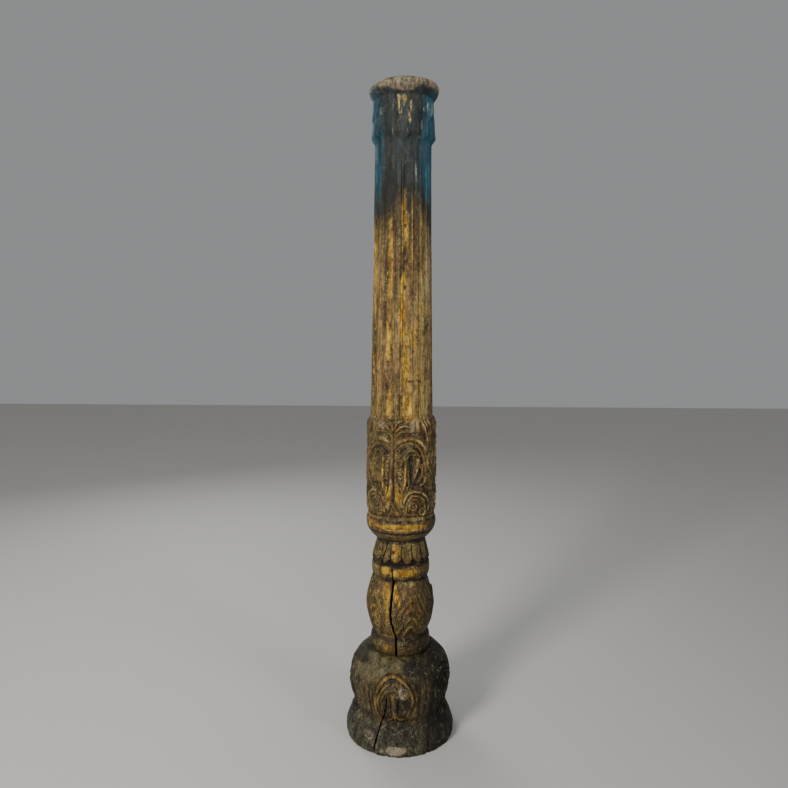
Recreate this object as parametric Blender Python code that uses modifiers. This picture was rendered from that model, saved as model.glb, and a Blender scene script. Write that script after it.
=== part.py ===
# Carved wooden pillar: one turned and carved log that stands on a pot-shaped base block.
# Metres, +Z up. The origin is the centre of the underside, and the side seen first faces -Y.

import math

import bmesh
import bpy
import numpy as np

# Overall height, and the height of each turned member from the floor up.
# The fluted length of the log is what the other members leave of the overall height.
PILLAR_HEIGHT = 2.000
FOOT_EDGE_HEIGHT = 0.022
FOOT_SLOPE_HEIGHT = 0.075
POT_RISE_HEIGHT = 0.081
POT_SHOULDER_HEIGHT = 0.098
SEAT_GAP = 0.0003
LOWER_RING_HEIGHT = 0.0537
BULB_HEIGHT = 0.188
UPPER_RING_HEIGHT = 0.048
BELL_GAP_HEIGHT = 0.004
BELL_HEIGHT = 0.064
BEAD_UNDERSIDE_HEIGHT = 0.056
BEAD_TOP_HEIGHT = 0.018
SLEEVE_HEIGHT = 0.310
COLLAR_HEIGHT = 0.128
CAP_HEIGHT = 0.043

# Radii of the turned members, from the floor up.
SOLE_RADIUS = 0.1730
FOOT_RADIUS = 0.1745
WAIST_RADIUS = 0.1455
POT_RADIUS = 0.1625
SEAT_RADIUS = 0.1070
LOWER_RING_FOOT_RADIUS = 0.0880
LOWER_RING_RADIUS = 0.0945
BULB_FOOT_RADIUS = 0.0860
BULB_RADIUS = 0.1088
BULB_NECK_RADIUS = 0.0865
UPPER_RING_RADIUS = 0.0915
BELL_GAP_RADIUS = 0.0840
BELL_RADIUS = 0.0905
NECK_RADIUS = 0.0745
BEAD_RADIUS = 0.1090
GROOVE_RADIUS = 0.1045
SLEEVE_RADIUS = 0.1100
SLEEVE_SHOULDER_RADIUS = 0.1087
SHAFT_FOOT_RADIUS = 0.0970
SHAFT_HEAD_RADIUS = 0.0855
COLLAR_TIP_RADIUS = 0.0970
COLLAR_NECK_RADIUS = 0.0875
CAP_RADIUS = 0.1050
CAP_RIM_RADIUS = 0.1010

# Flutes of the log: wide shallow hollows with narrow round beads between them.
FLUTE_COUNT = 10
FLUTE_TURN = 9.7
FLUTE_DEPTH = 0.0045
FLUTE_BEAD_WIDTH = 0.017
FLUTE_HEAD_DROP = 0.060
FLUTE_FOOT_RISE = 0.004
FLUTE_END_LENGTH = 0.022

# Broad leaves that hang from the cap and make the collar.
COLLAR_LEAF_COUNT = 5
COLLAR_LEAF_TURN = -1.0
COLLAR_LEAF_POINT = 0.075
COLLAR_CHAMFER_HEIGHT = 0.020
COLLAR_BUD_LENGTH = 0.062
COLLAR_BUD_WIDTH = 0.038
COLLAR_BUD_RELIEF = 0.003

# Carved sleeve: five bays of arches over scrolls, with paired leaves on the stems between.
BAY_COUNT = 5
STEM_TURN = -12.5
SLEEVE_DEPTH = 0.0055
SLEEVE_BORDER = 0.012
ARCH_RISE = 0.160
ARCH_LEG = 0.092
ARCH_BAND = 0.016
STEM_BAND = 0.022
STEM_GROOVE = 0.006
LEAF_LENGTH = 0.086
LEAF_WIDTH = 0.024
LEAF_FOOT = 0.040
SCROLL_RADIUS = 0.042
SCROLL_BAND = 0.010
SCROLL_HEIGHT = 0.048
EYE_RADIUS = 0.011
CURL_RADIUS = 0.015
SPANDREL_LOBE = 0.034

# Petals of the bell, and the leaves round the bulb.
PETAL_COUNT = 15
PETAL_TURN = -9.4
PETAL_DEPTH = 0.0042
BULB_LEAF_COUNT = 5
BULB_LEAF_TURN = -15.6
BULB_LEAF_WIDTH = 0.076
BULB_LEAF_RELIEF = 0.0040
SHORT_LEAF_LENGTH = 0.150
SHORT_LEAF_WIDTH = 0.062

# Medallions round the base.
MEDALLION_COUNT = 5
MEDALLION_TURN = -6.0
MEDALLION_TOP = 0.256
MEDALLION_HALF_WIDTH = 0.072
MEDALLION_FOOT = 0.066
MEDALLION_RELIEF = 0.0060
MEDALLION_BAND = 0.014
MEDALLION_BOSS = 0.019

# Drying cracks: the width at the surface and how deep the wedge goes in.
LONG_CRACK_WIDTH = 0.0078
LONG_CRACK_DEPTH = 0.036
BELL_CRACK_WIDTH = 0.0036
BELL_CRACK_DEPTH = 0.016
BASE_CRACK_WIDTH = 0.0052
BASE_CRACK_DEPTH = 0.024
CRACK_CLEARANCE = 0.008

# The cap's rim is worn away on one side.
RIM_WEAR_TURN = -62.0
RIM_WEAR_SPREAD = 46.0
RIM_WEAR_DEPTH = 0.013
RIM_WEAR_HEIGHT = 0.016

# Fineness of the carved surface, and the share of its triangles that are kept.
TURN_STEPS = 240
ROW_PITCH = 0.0045
PLAIN_ROW_PITCH = 0.060
LOG_TRIANGLE_SHARE = 0.0590
BASE_TRIANGLE_SHARE = 0.0670

# Heights above the floor that follow from the members.
WAIST_Z = FOOT_EDGE_HEIGHT + FOOT_SLOPE_HEIGHT
POT_Z = WAIST_Z + POT_RISE_HEIGHT
SEAT_Z = POT_Z + POT_SHOULDER_HEIGHT
LOG_Z = SEAT_Z + SEAT_GAP
BULB_Z = LOG_Z + LOWER_RING_HEIGHT
UPPER_RING_Z = BULB_Z + BULB_HEIGHT
BELL_Z = UPPER_RING_Z + UPPER_RING_HEIGHT + BELL_GAP_HEIGHT
NECK_Z = BELL_Z + BELL_HEIGHT
BEAD_Z = NECK_Z + BEAD_UNDERSIDE_HEIGHT
SLEEVE_Z = BEAD_Z + BEAD_TOP_HEIGHT
SHAFT_Z = SLEEVE_Z + SLEEVE_HEIGHT
CAP_Z = PILLAR_HEIGHT - CAP_HEIGHT
COLLAR_Z = CAP_Z - COLLAR_HEIGHT

# Shares of a member's own height at which its outline turns.
LOWER_RING_BELLY = 0.44
BULB_BELLY = 0.48
UPPER_RING_BELLY = 0.52
SLEEVE_BELLY = 0.28
SLEEVE_SHOULDER = 0.915
CAP_BELLY = 0.79


def eased(share, flat, round_off):
    """Share of the drop at a share of the way from the widest place to the narrow end."""
    return 1.0 - (1.0 - share ** flat) ** round_off


def quarter(low_z, high_z, low_radius, high_radius, flat, round_off, pitch=ROW_PITCH):
    """Stations of one bend of the outline, from low to high, without the last one.

    flat says how long the wide end stays flat, and round_off below 1 rounds the narrow end.
    """
    height = high_z - low_z
    rows = max(3, round(height / pitch))
    stations = []
    for row in range(rows):
        share = row / rows
        if low_radius > high_radius:
            drop = eased(share, flat, round_off)
            radius = low_radius + (high_radius - low_radius) * drop
        else:
            drop = eased(1.0 - share, flat, round_off)
            radius = high_radius + (low_radius - high_radius) * drop
        stations.append((low_z + height * share, radius))
    return stations


def base_outline():
    """Outline of the base from the sole up to its flat seat."""
    stations = quarter(0.0, FOOT_EDGE_HEIGHT, SOLE_RADIUS, FOOT_RADIUS, 2.0, 1.0)
    stations += quarter(FOOT_EDGE_HEIGHT, WAIST_Z, FOOT_RADIUS, WAIST_RADIUS, 1.25, 1.0)
    stations += quarter(WAIST_Z, POT_Z, WAIST_RADIUS, POT_RADIUS, 1.25, 1.0)
    stations += quarter(POT_Z, SEAT_Z, POT_RADIUS, SEAT_RADIUS, 1.8, 0.55)
    stations.append((SEAT_Z, SEAT_RADIUS))
    return stations


def log_outline():
    """Outline of the log from its lower ring up to the cap."""
    ring_belly_z = LOG_Z + LOWER_RING_HEIGHT * LOWER_RING_BELLY
    bulb_belly_z = BULB_Z + BULB_HEIGHT * BULB_BELLY
    upper_belly_z = UPPER_RING_Z + UPPER_RING_HEIGHT * UPPER_RING_BELLY
    upper_ring_top_z = UPPER_RING_Z + UPPER_RING_HEIGHT
    sleeve_belly_z = SLEEVE_Z + SLEEVE_HEIGHT * SLEEVE_BELLY
    shoulder_z = SLEEVE_Z + SLEEVE_HEIGHT * SLEEVE_SHOULDER
    flute_foot_z = SHAFT_Z + FLUTE_FOOT_RISE + 2.0 * FLUTE_END_LENGTH
    flute_head_z = COLLAR_Z - FLUTE_HEAD_DROP - 2.0 * FLUTE_END_LENGTH
    tip_z = COLLAR_Z + COLLAR_CHAMFER_HEIGHT
    cap_belly_z = CAP_Z + CAP_HEIGHT * CAP_BELLY

    stations = quarter(LOG_Z, ring_belly_z, LOWER_RING_FOOT_RADIUS, LOWER_RING_RADIUS, 2.0, 0.6)
    stations += quarter(ring_belly_z, BULB_Z, LOWER_RING_RADIUS, BULB_FOOT_RADIUS, 2.0, 0.6)
    stations += quarter(BULB_Z, bulb_belly_z, BULB_FOOT_RADIUS, BULB_RADIUS, 1.75, 1.0)
    stations += quarter(bulb_belly_z, UPPER_RING_Z, BULB_RADIUS, BULB_NECK_RADIUS, 1.75, 1.0)
    stations += quarter(UPPER_RING_Z, upper_belly_z, BULB_NECK_RADIUS, UPPER_RING_RADIUS, 2.0, 0.6)
    stations += quarter(upper_belly_z, upper_ring_top_z, UPPER_RING_RADIUS, BELL_GAP_RADIUS, 2.0, 0.6)
    stations.append((upper_ring_top_z, BELL_GAP_RADIUS))
    stations += quarter(BELL_Z, NECK_Z, BELL_RADIUS, NECK_RADIUS, 1.25, 1.0)
    stations += quarter(NECK_Z, BEAD_Z, NECK_RADIUS, BEAD_RADIUS, 2.2, 1.0)
    stations += quarter(BEAD_Z, SLEEVE_Z, BEAD_RADIUS, GROOVE_RADIUS, 2.0, 0.7)
    stations += quarter(SLEEVE_Z, sleeve_belly_z, GROOVE_RADIUS, SLEEVE_RADIUS, 3.5, 1.0)
    stations += quarter(sleeve_belly_z, shoulder_z, SLEEVE_RADIUS, SLEEVE_SHOULDER_RADIUS, 1.5, 1.0)
    stations += quarter(shoulder_z, SHAFT_Z, SLEEVE_SHOULDER_RADIUS, SHAFT_FOOT_RADIUS, 2.0, 0.6)
    stations += shaft_outline(flute_foot_z, flute_head_z)
    stations += quarter(COLLAR_Z, tip_z, SHAFT_HEAD_RADIUS, COLLAR_TIP_RADIUS, 1.0, 1.0)
    stations += [(z, collar_radius(z)) for z in rows_between(tip_z, CAP_Z, ROW_PITCH)]
    stations += quarter(CAP_Z, cap_belly_z, COLLAR_NECK_RADIUS, CAP_RADIUS, 2.2, 1.0)
    stations += quarter(cap_belly_z, PILLAR_HEIGHT, CAP_RADIUS, CAP_RIM_RADIUS, 2.0, 0.6, 0.002)
    stations.append((PILLAR_HEIGHT, CAP_RIM_RADIUS))
    return stations


def rows_between(low_z, high_z, pitch):
    """Row heights from low to high, without the last one."""
    rows = max(2, round((high_z - low_z) / pitch))
    return [low_z + (high_z - low_z) * row / rows for row in range(rows)]


def shaft_radius(z):
    """Radius of the fluted length, which thins toward the collar with a slight swelling."""
    share = np.clip((COLLAR_Z - z) / (COLLAR_Z - SHAFT_Z), 0.0, 1.0)
    return SHAFT_HEAD_RADIUS + (SHAFT_FOOT_RADIUS - SHAFT_HEAD_RADIUS) * share ** 1.35


def shaft_outline(flute_foot_z, flute_head_z):
    """The fluted length: close rows where the flutes end and far ones between."""
    heights = rows_between(SHAFT_Z, flute_foot_z, ROW_PITCH)
    heights += rows_between(flute_foot_z, flute_head_z, PLAIN_ROW_PITCH)
    heights += rows_between(flute_head_z, COLLAR_Z, ROW_PITCH)
    return [(z, float(shaft_radius(z))) for z in heights]


def collar_radius(z):
    """Radius of the flared leaves, wider toward their tips."""
    tip_z = COLLAR_Z + COLLAR_CHAMFER_HEIGHT
    share = (CAP_Z - z) / (CAP_Z - tip_z)
    return COLLAR_NECK_RADIUS + (COLLAR_TIP_RADIUS - COLLAR_NECK_RADIUS) * share ** 1.4


def turned_mesh(name, stations):
    """Mesh of the outline turned round +Z; the outline runs down its outer side."""
    mesh = bpy.data.meshes.new(name)
    outline = bmesh.new()
    top_z = stations[-1][0]
    bottom_z = stations[0][0]
    points = [(0.0, top_z)]
    points += [(radius, z) for z, radius in reversed(stations)]
    points += [(0.0, bottom_z)]
    verts = [outline.verts.new((radius, 0.0, z)) for radius, z in points]
    for first, second in zip(verts, verts[1:]):
        outline.edges.new((first, second))
    outline.to_mesh(mesh)
    outline.free()
    lathe = bpy.data.objects.new(name + "_lathe", mesh)
    bpy.context.collection.objects.link(lathe)
    screw = lathe.modifiers.new("turn", "SCREW")
    screw.steps = TURN_STEPS
    screw.render_steps = TURN_STEPS
    screw.use_merge_vertices = True
    screw.merge_threshold = 0.00001
    turned = evaluated_mesh(lathe, name)
    bpy.data.objects.remove(lathe)
    bpy.data.meshes.remove(mesh)
    return turned


def evaluated_mesh(source, name):
    """A new mesh that holds the object with its modifiers."""
    bpy.context.view_layer.update()
    depsgraph = bpy.context.evaluated_depsgraph_get()
    result = bpy.data.meshes.new_from_object(source.evaluated_get(depsgraph))
    result.name = name
    return result


def mesh_points(mesh):
    """The mesh's corner positions as an array of rows x, y, z."""
    flat = np.empty(len(mesh.vertices) * 3)
    mesh.vertices.foreach_get("co", flat)
    return flat.reshape(-1, 3)


def soft_step(value):
    """0 below 0, 1 above 1, and an eased slope between."""
    share = np.clip(value, 0.0, 1.0)
    return share * share * (3.0 - 2.0 * share)


def band(distance, width):
    """1 along the middle of a band that falls off to 0 at its edges."""
    return soft_step((width * 0.5 - np.abs(distance)) / (width * 0.28))


def wrapped(azimuth, turn, count):
    """Angle from the nearest of count places spaced round the log, in degrees."""
    pitch = 360.0 / count
    return (azimuth - turn + pitch * 0.5) % pitch - pitch * 0.5


def arc_length(angle, radius):
    """Length along the surface of an angle given in degrees."""
    return np.radians(angle) * radius


def flute_relief(azimuth, z):
    """Hollows along the log; the beads between them and the ends are left standing."""
    across = np.abs(wrapped(azimuth, FLUTE_TURN, FLUTE_COUNT))
    pitch = 360.0 / FLUTE_COUNT
    flute_half = arc_length(pitch * 0.5, shaft_radius(z)) - FLUTE_BEAD_WIDTH * 0.5
    share = np.clip(arc_length(across, shaft_radius(z)) / flute_half, 0.0, 1.0)
    hollow = np.sqrt(1.0 - share ** 4)
    foot_z = SHAFT_Z + FLUTE_FOOT_RISE
    head_z = COLLAR_Z - FLUTE_HEAD_DROP
    ends = np.minimum(z - foot_z, head_z - z) / FLUTE_END_LENGTH
    open_part = np.sqrt(np.clip(ends - share * share * 0.6, 0.0, 1.0))
    return -FLUTE_DEPTH * hollow * open_part


def collar_relief(azimuth, z, radius):
    """Cuts the notches between the hanging leaves down to the shaft, and lifts a bud on each."""
    angle = wrapped(azimuth, COLLAR_LEAF_TURN, COLLAR_LEAF_COUNT)
    half_pitch = 180.0 / COLLAR_LEAF_COUNT
    up_leaf = np.clip((z - COLLAR_Z) / COLLAR_LEAF_POINT, 0.0, 1.0)
    half_width = half_pitch * np.sqrt(1.0 - (1.0 - up_leaf) ** 2.6)
    inside = soft_step((half_width - np.abs(angle)) / 5.0 + 0.5)
    on_collar = (z > COLLAR_Z) & (z < CAP_Z)
    whole = z > COLLAR_Z + COLLAR_LEAF_POINT
    inside = np.where(whole, 1.0, inside)
    notch = np.where(on_collar, (SHAFT_HEAD_RADIUS - radius) * (1.0 - inside), 0.0)
    bud_half = COLLAR_BUD_WIDTH * 0.5
    down_bud = np.clip((CAP_Z - z) / COLLAR_BUD_LENGTH, 0.0, 1.0)
    bud_edge = bud_half * np.sqrt(1.0 - down_bud ** 2.2)
    across = arc_length(angle, COLLAR_NECK_RADIUS)
    bud = soft_step((bud_edge - np.abs(across)) / (bud_half * 0.4))
    return notch + np.where(on_collar, COLLAR_BUD_RELIEF * bud * inside, 0.0)


def bay_angle(azimuth):
    """Angle across a bay, 0 at a leafy stem and the full pitch at the plain joint of two bays.

    The two bays beside the front stem mirror each other, so do the next two, and the
    fifth, at the back, mirrors about its own middle.
    """
    pitch = 360.0 / BAY_COUNT
    angle = (azimuth - STEM_TURN) % 360.0
    angle = np.minimum(angle, 360.0 - angle)
    folded = np.where(angle > pitch, 2.0 * pitch - angle, angle)
    return np.where(angle > 2.0 * pitch, angle - 2.0 * pitch, folded)


def ring(across, up, centre_across, centre_up, radius, width):
    """A round band about a centre on the unrolled surface."""
    distance = np.hypot(across - centre_across, up - centre_up)
    return band(distance - radius, width)


def disc(across, up, centre_across, centre_up, radius):
    """A low round boss on the unrolled surface."""
    distance = np.hypot(across - centre_across, up - centre_up)
    return np.sqrt(np.clip(1.0 - (distance / radius) ** 2, 0.0, 1.0))


def sleeve_relief(azimuth, z):
    """Ground cut back from the sleeve's surface, round the arches, stems, leaves and scrolls."""
    across = arc_length(bay_angle(azimuth), SLEEVE_RADIUS)
    bay = arc_length(360.0 / BAY_COUNT, SLEEVE_RADIUS)
    up = z - SLEEVE_Z
    top = SLEEVE_HEIGHT * SLEEVE_SHOULDER

    # The arch springs high from the stem, and comes down as a leg beside the joint.
    arch_foot = top - ARCH_LEG * 0.45
    arch_top = arch_foot + ARCH_BAND * 1.5
    crown = arch_foot + (arch_top - arch_foot) * np.sin(np.pi * np.clip(across / bay, 0.0, 1.0)) ** 0.7
    leg_share = np.clip((across - bay * 0.50) / (bay * 0.42), 0.0, 1.0)
    crown = crown - ARCH_LEG * (1.0 - np.sqrt(1.0 - leg_share ** 3.0))
    arch = band(up - crown, ARCH_BAND)
    arch = np.where(leg_share < 1.0, arch, 0.0)
    leg = band(across - bay * 0.90, ARCH_BAND * 0.8)
    leg = leg * soft_step((up - ARCH_RISE * 0.75) / ARCH_BAND) * soft_step((crown - up) / ARCH_BAND + 2.0)
    relief = np.maximum(arch, leg * (up < arch_top))

    # Stem with a groove down its middle, and a pair of leaves hanging at its foot.
    stem = soft_step((STEM_BAND * 0.5 - across) / (STEM_BAND * 0.2))
    relief = np.maximum(relief, stem * (up > LEAF_FOOT + LEAF_LENGTH * 0.6))
    leaf_up = (up - LEAF_FOOT) / LEAF_LENGTH
    leaf_open = np.sqrt(np.clip(1.0 - (1.0 - np.clip(leaf_up, 0.0, 1.0) * 2.0) ** 2, 0.0, 1.0))
    leaf_half = LEAF_WIDTH * 0.5 * np.where(leaf_up < 0.5, leaf_open, 1.0 - 0.55 * (leaf_up - 0.5) * 2.0)
    leaf = soft_step((leaf_half - np.abs(across - LEAF_WIDTH * 0.56)) / (LEAF_WIDTH * 0.18))
    leaf = leaf * (leaf_up > 0.0) * (leaf_up < 1.0)
    relief = np.maximum(relief, leaf)

    # Scroll: two nested rings and two eyes under the arch.
    scroll_across = bay * 0.565
    for share in (1.0, 0.62):
        nested = ring(across, up, scroll_across, SCROLL_HEIGHT, SCROLL_RADIUS * share, SCROLL_BAND)
        relief = np.maximum(relief, nested)
    left_eye = disc(across, up, scroll_across - EYE_RADIUS * 1.3, SCROLL_HEIGHT, EYE_RADIUS)
    right_eye = disc(across, up, scroll_across + EYE_RADIUS * 1.5, SCROLL_HEIGHT - EYE_RADIUS, EYE_RADIUS * 0.8)
    relief = np.maximum(relief, np.maximum(left_eye, right_eye))

    # Curl, upright stalk and small leaf in the field under the arch.
    curl_up = arch_foot - CURL_RADIUS * 2.0
    relief = np.maximum(relief, ring(across, up, bay * 0.36, curl_up, CURL_RADIUS * 0.7, CURL_RADIUS * 0.7))
    in_field = soft_step((up - ARCH_RISE * 0.75) / 0.010) * soft_step((curl_up - up) / 0.010)
    relief = np.maximum(relief, band(across - bay * 0.26, 0.012) * in_field)
    relief = np.maximum(relief, band(across - bay * 0.56, 0.016) * in_field)

    # Drooping lobes along the top edge, and a plain border below.
    lobe = across % SPANDREL_LOBE / SPANDREL_LOBE * 2.0 - 1.0
    lobe_foot = top - SPANDREL_LOBE * 0.85 * np.sqrt(np.clip(1.0 - lobe * lobe, 0.0, 1.0))
    relief = np.maximum(relief, soft_step((up - lobe_foot) / 0.006))
    relief = np.maximum(relief, soft_step((SLEEVE_BORDER - up) / 0.005 + 0.5))

    groove = soft_step((STEM_GROOVE * 0.5 - across) / (STEM_GROOVE * 0.5)) * (up > LEAF_FOOT)
    relief = np.minimum(relief, 1.0 - 0.8 * groove)
    on_sleeve = (z > SLEEVE_Z) & (z < SHAFT_Z - FLUTE_FOOT_RISE)
    ends = soft_step((z - SLEEVE_Z) / 0.006)
    return np.where(on_sleeve, -SLEEVE_DEPTH * (1.0 - relief) * ends, 0.0)


def bell_relief(azimuth, z):
    """Round petals with narrow cuts between, dying out at the neck."""
    share = np.abs(wrapped(azimuth, PETAL_TURN, PETAL_COUNT)) / (180.0 / PETAL_COUNT)
    up = np.clip((z - BELL_Z) / BELL_HEIGHT, 0.0, 1.0)
    round_face = 1.0 - np.sqrt(np.clip(1.0 - share ** 2.6, 0.0, 1.0))
    round_end = share ** 2 * soft_step(1.0 - up / 0.22)
    fade = soft_step((1.0 - up) / 0.25)
    on_bell = (z > BELL_Z - BELL_GAP_HEIGHT * 0.5) & (z < NECK_Z)
    return np.where(on_bell, -PETAL_DEPTH * (round_face + round_end * 0.8) * fade, 0.0)


def leaf_shape(across, up, length, width):
    """Height of a pointed leaf with a sunk midrib, standing on up = 0."""
    share = np.clip(up / length, 0.0, 1.0)
    half = width * 0.5 * np.sqrt(np.clip(1.0 - share ** 2.4, 0.0, 1.0)) * (0.80 + 0.20 * np.sin(np.pi * share))
    inside = soft_step((half - np.abs(across)) / (width * 0.10))
    rib = 1.0 - 0.45 * soft_step(1.0 - np.abs(across) / (width * 0.10))
    return inside * rib * (up < length)


def bulb_relief(azimuth, z):
    """Tall leaves up to the ring, with short broad ones between them, on a sunk ground."""
    up = z - BULB_Z
    tall = leaf_shape(
        arc_length(wrapped(azimuth, BULB_LEAF_TURN, BULB_LEAF_COUNT), BULB_RADIUS),
        up, BULB_HEIGHT * 1.04, BULB_LEAF_WIDTH)
    half_pitch = 180.0 / BULB_LEAF_COUNT
    short = leaf_shape(
        arc_length(wrapped(azimuth, BULB_LEAF_TURN + half_pitch, BULB_LEAF_COUNT), BULB_RADIUS),
        up, SHORT_LEAF_LENGTH, SHORT_LEAF_WIDTH)
    leaves = np.maximum(tall, short * 0.85)
    ends = soft_step(up / 0.012) * soft_step((BULB_HEIGHT - up) / 0.012)
    on_bulb = (up > 0.0) & (up < BULB_HEIGHT)
    return np.where(on_bulb, -BULB_LEAF_RELIEF * (1.0 - leaves) * ends, 0.0)


def medallion_relief(azimuth, z):
    """Round-headed medallions with nested bands, a boss and a stem with a spread foot."""
    angle = wrapped(azimuth, MEDALLION_TURN, MEDALLION_COUNT)
    across = arc_length(angle, POT_RADIUS)
    head_z = MEDALLION_TOP - MEDALLION_HALF_WIDTH
    below = np.clip((head_z - z) / (head_z - MEDALLION_FOOT), 0.0, 1.0)
    straight = np.abs(across) + MEDALLION_HALF_WIDTH * below ** 2.4
    distance = np.where(z > head_z, np.hypot(across, z - head_z), straight)
    field = soft_step((MEDALLION_HALF_WIDTH - distance) / 0.010)
    outer = band(distance - MEDALLION_HALF_WIDTH + MEDALLION_BAND * 0.6, MEDALLION_BAND)
    middle = band(distance - MEDALLION_HALF_WIDTH + MEDALLION_BAND * 1.7, MEDALLION_BAND * 0.8)
    inner = band(distance - MEDALLION_HALF_WIDTH * 0.45, MEDALLION_BAND)
    boss = disc(across, z, MEDALLION_BOSS * 1.2, head_z + 0.008, MEDALLION_BOSS)
    flare = 1.0 + 2.2 * soft_step((MEDALLION_FOOT + 0.052 - z) / 0.040)
    stem = band(across / flare, MEDALLION_BAND) * (z < head_z + 0.020)
    raised = np.maximum(np.maximum(outer, middle * 0.85), np.maximum(inner * 0.7, stem * 0.8))
    raised = np.maximum(raised, boss * 1.25)
    on_pot = (z > MEDALLION_FOOT) & (z < MEDALLION_TOP + 0.010)
    return np.where(on_pot, MEDALLION_RELIEF * (raised - 0.45) * field, 0.0)


def rim_wear(azimuth, z):
    """The cap's rim is rounded away on one side."""
    angle = (azimuth - RIM_WEAR_TURN + 180.0) % 360.0 - 180.0
    around = np.exp(-(angle / RIM_WEAR_SPREAD) ** 2)
    near_top = soft_step(1.0 - (PILLAR_HEIGHT - z) / RIM_WEAR_HEIGHT)
    return -RIM_WEAR_DEPTH * around * near_top


def log_relief(azimuth, z, radius):
    """All carving on the log."""
    relief = np.zeros_like(z)
    on_shaft = (z >= SHAFT_Z) & (z <= COLLAR_Z)
    relief += np.where(on_shaft, flute_relief(azimuth, z), 0.0)
    relief += collar_relief(azimuth, z, radius)
    relief += sleeve_relief(azimuth, z)
    relief += bell_relief(azimuth, z)
    relief += bulb_relief(azimuth, z)
    relief += rim_wear(azimuth, z)
    return relief


def base_relief(azimuth, z, radius):
    """All carving on the base."""
    return medallion_relief(azimuth, z)


def carve(mesh, relief):
    """Moves the turned surface in or out by the relief; the flat ends stay flat."""
    points = mesh_points(mesh)
    radius = np.hypot(points[:, 0], points[:, 1])
    azimuth = np.degrees(np.arctan2(points[:, 0], -points[:, 1]))
    on_side = radius > NECK_RADIUS * 0.5
    moved = radius + relief(azimuth, points[:, 2], radius) * on_side
    scale = np.where(on_side, moved / np.maximum(radius, NECK_RADIUS * 0.5), 1.0)
    points[:, 0] *= scale
    points[:, 1] *= scale
    mesh.vertices.foreach_set("co", points.ravel())
    mesh.update()


def simplified(carved, low_z, high_z, share):
    """The carved mesh with fewer triangles, close ones only where the form bends.

    The corners near each flat end are put back exactly on it.
    """
    holder = bpy.data.objects.new(carved.name + "_fine", carved)
    bpy.context.collection.objects.link(holder)
    decimate = holder.modifiers.new("fewer triangles", "DECIMATE")
    decimate.ratio = share
    decimate.use_collapse_triangulate = True
    mesh = evaluated_mesh(holder, carved.name)
    bpy.data.objects.remove(holder)
    bpy.data.meshes.remove(carved)
    points = mesh_points(mesh)
    for level in (low_z, high_z):
        near = np.abs(points[:, 2] - level) < SEAT_GAP
        points[near, 2] = level
    mesh.vertices.foreach_set("co", points.ravel())
    mesh.update()
    return mesh


def crack_cutter(name, stations, route, width, depth, collection):
    """A long wedge that follows a drying crack; its edge lies inside the wood.

    route holds (azimuth, height, share of the full width) from the top down.
    """
    heights = [z for z, _ in stations]
    radii = [radius for _, radius in stations]
    wedge = bmesh.new()
    sections = []
    for azimuth, z, share in route:
        radius = float(np.interp(z, heights, radii))
        inner = radius - depth * (0.35 + 0.65 * share)
        outer = radius + CRACK_CLEARANCE
        half = width * 0.5 * share * (outer - inner) / (radius - inner)
        angle = math.radians(azimuth)
        out = (math.sin(angle), -math.cos(angle))
        side = (math.cos(angle), math.sin(angle))
        left = (out[0] * outer - side[0] * half, out[1] * outer - side[1] * half, z)
        right = (out[0] * outer + side[0] * half, out[1] * outer + side[1] * half, z)
        edge = (out[0] * inner, out[1] * inner, z)
        sections.append([wedge.verts.new(point) for point in (left, right, edge)])
    for upper, lower in zip(sections, sections[1:]):
        for first in range(3):
            second = (first + 1) % 3
            wedge.faces.new((upper[first], lower[first], lower[second], upper[second]))
    wedge.faces.new(sections[0])
    wedge.faces.new(reversed(sections[-1]))
    bmesh.ops.recalc_face_normals(wedge, faces=wedge.faces)
    mesh = bpy.data.meshes.new(name)
    wedge.to_mesh(mesh)
    wedge.free()
    cutter = bpy.data.objects.new(name, mesh)
    cutter.hide_render = True
    cutter.display_type = "WIRE"
    collection.objects.link(cutter)
    return cutter


def wood(name, colour, roughness):
    """A plain wood material."""
    material = bpy.data.materials.new(name)
    material.use_nodes = True
    shader = material.node_tree.nodes["Principled BSDF"]
    shader.inputs["Base Color"].default_value = (*colour, 1.0)
    shader.inputs["Roughness"].default_value = roughness
    shader.inputs["Metallic"].default_value = 0.0
    material.diffuse_color = (*colour, 1.0)
    return material


def add_piece(name, mesh, material, cutters, collection):
    """Links a finished piece, with its cracks cut and its round sides shaded smooth."""
    mesh.materials.clear()
    mesh.materials.append(material)
    mesh.shade_smooth()
    mesh.set_sharp_from_angle(angle=math.radians(40.0))
    piece = bpy.data.objects.new(name, mesh)
    collection.objects.link(piece)
    for cutter in cutters:
        cut = piece.modifiers.new(cutter.name, "BOOLEAN")
        cut.operation = "DIFFERENCE"
        cut.object = cutter
    return piece


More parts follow.
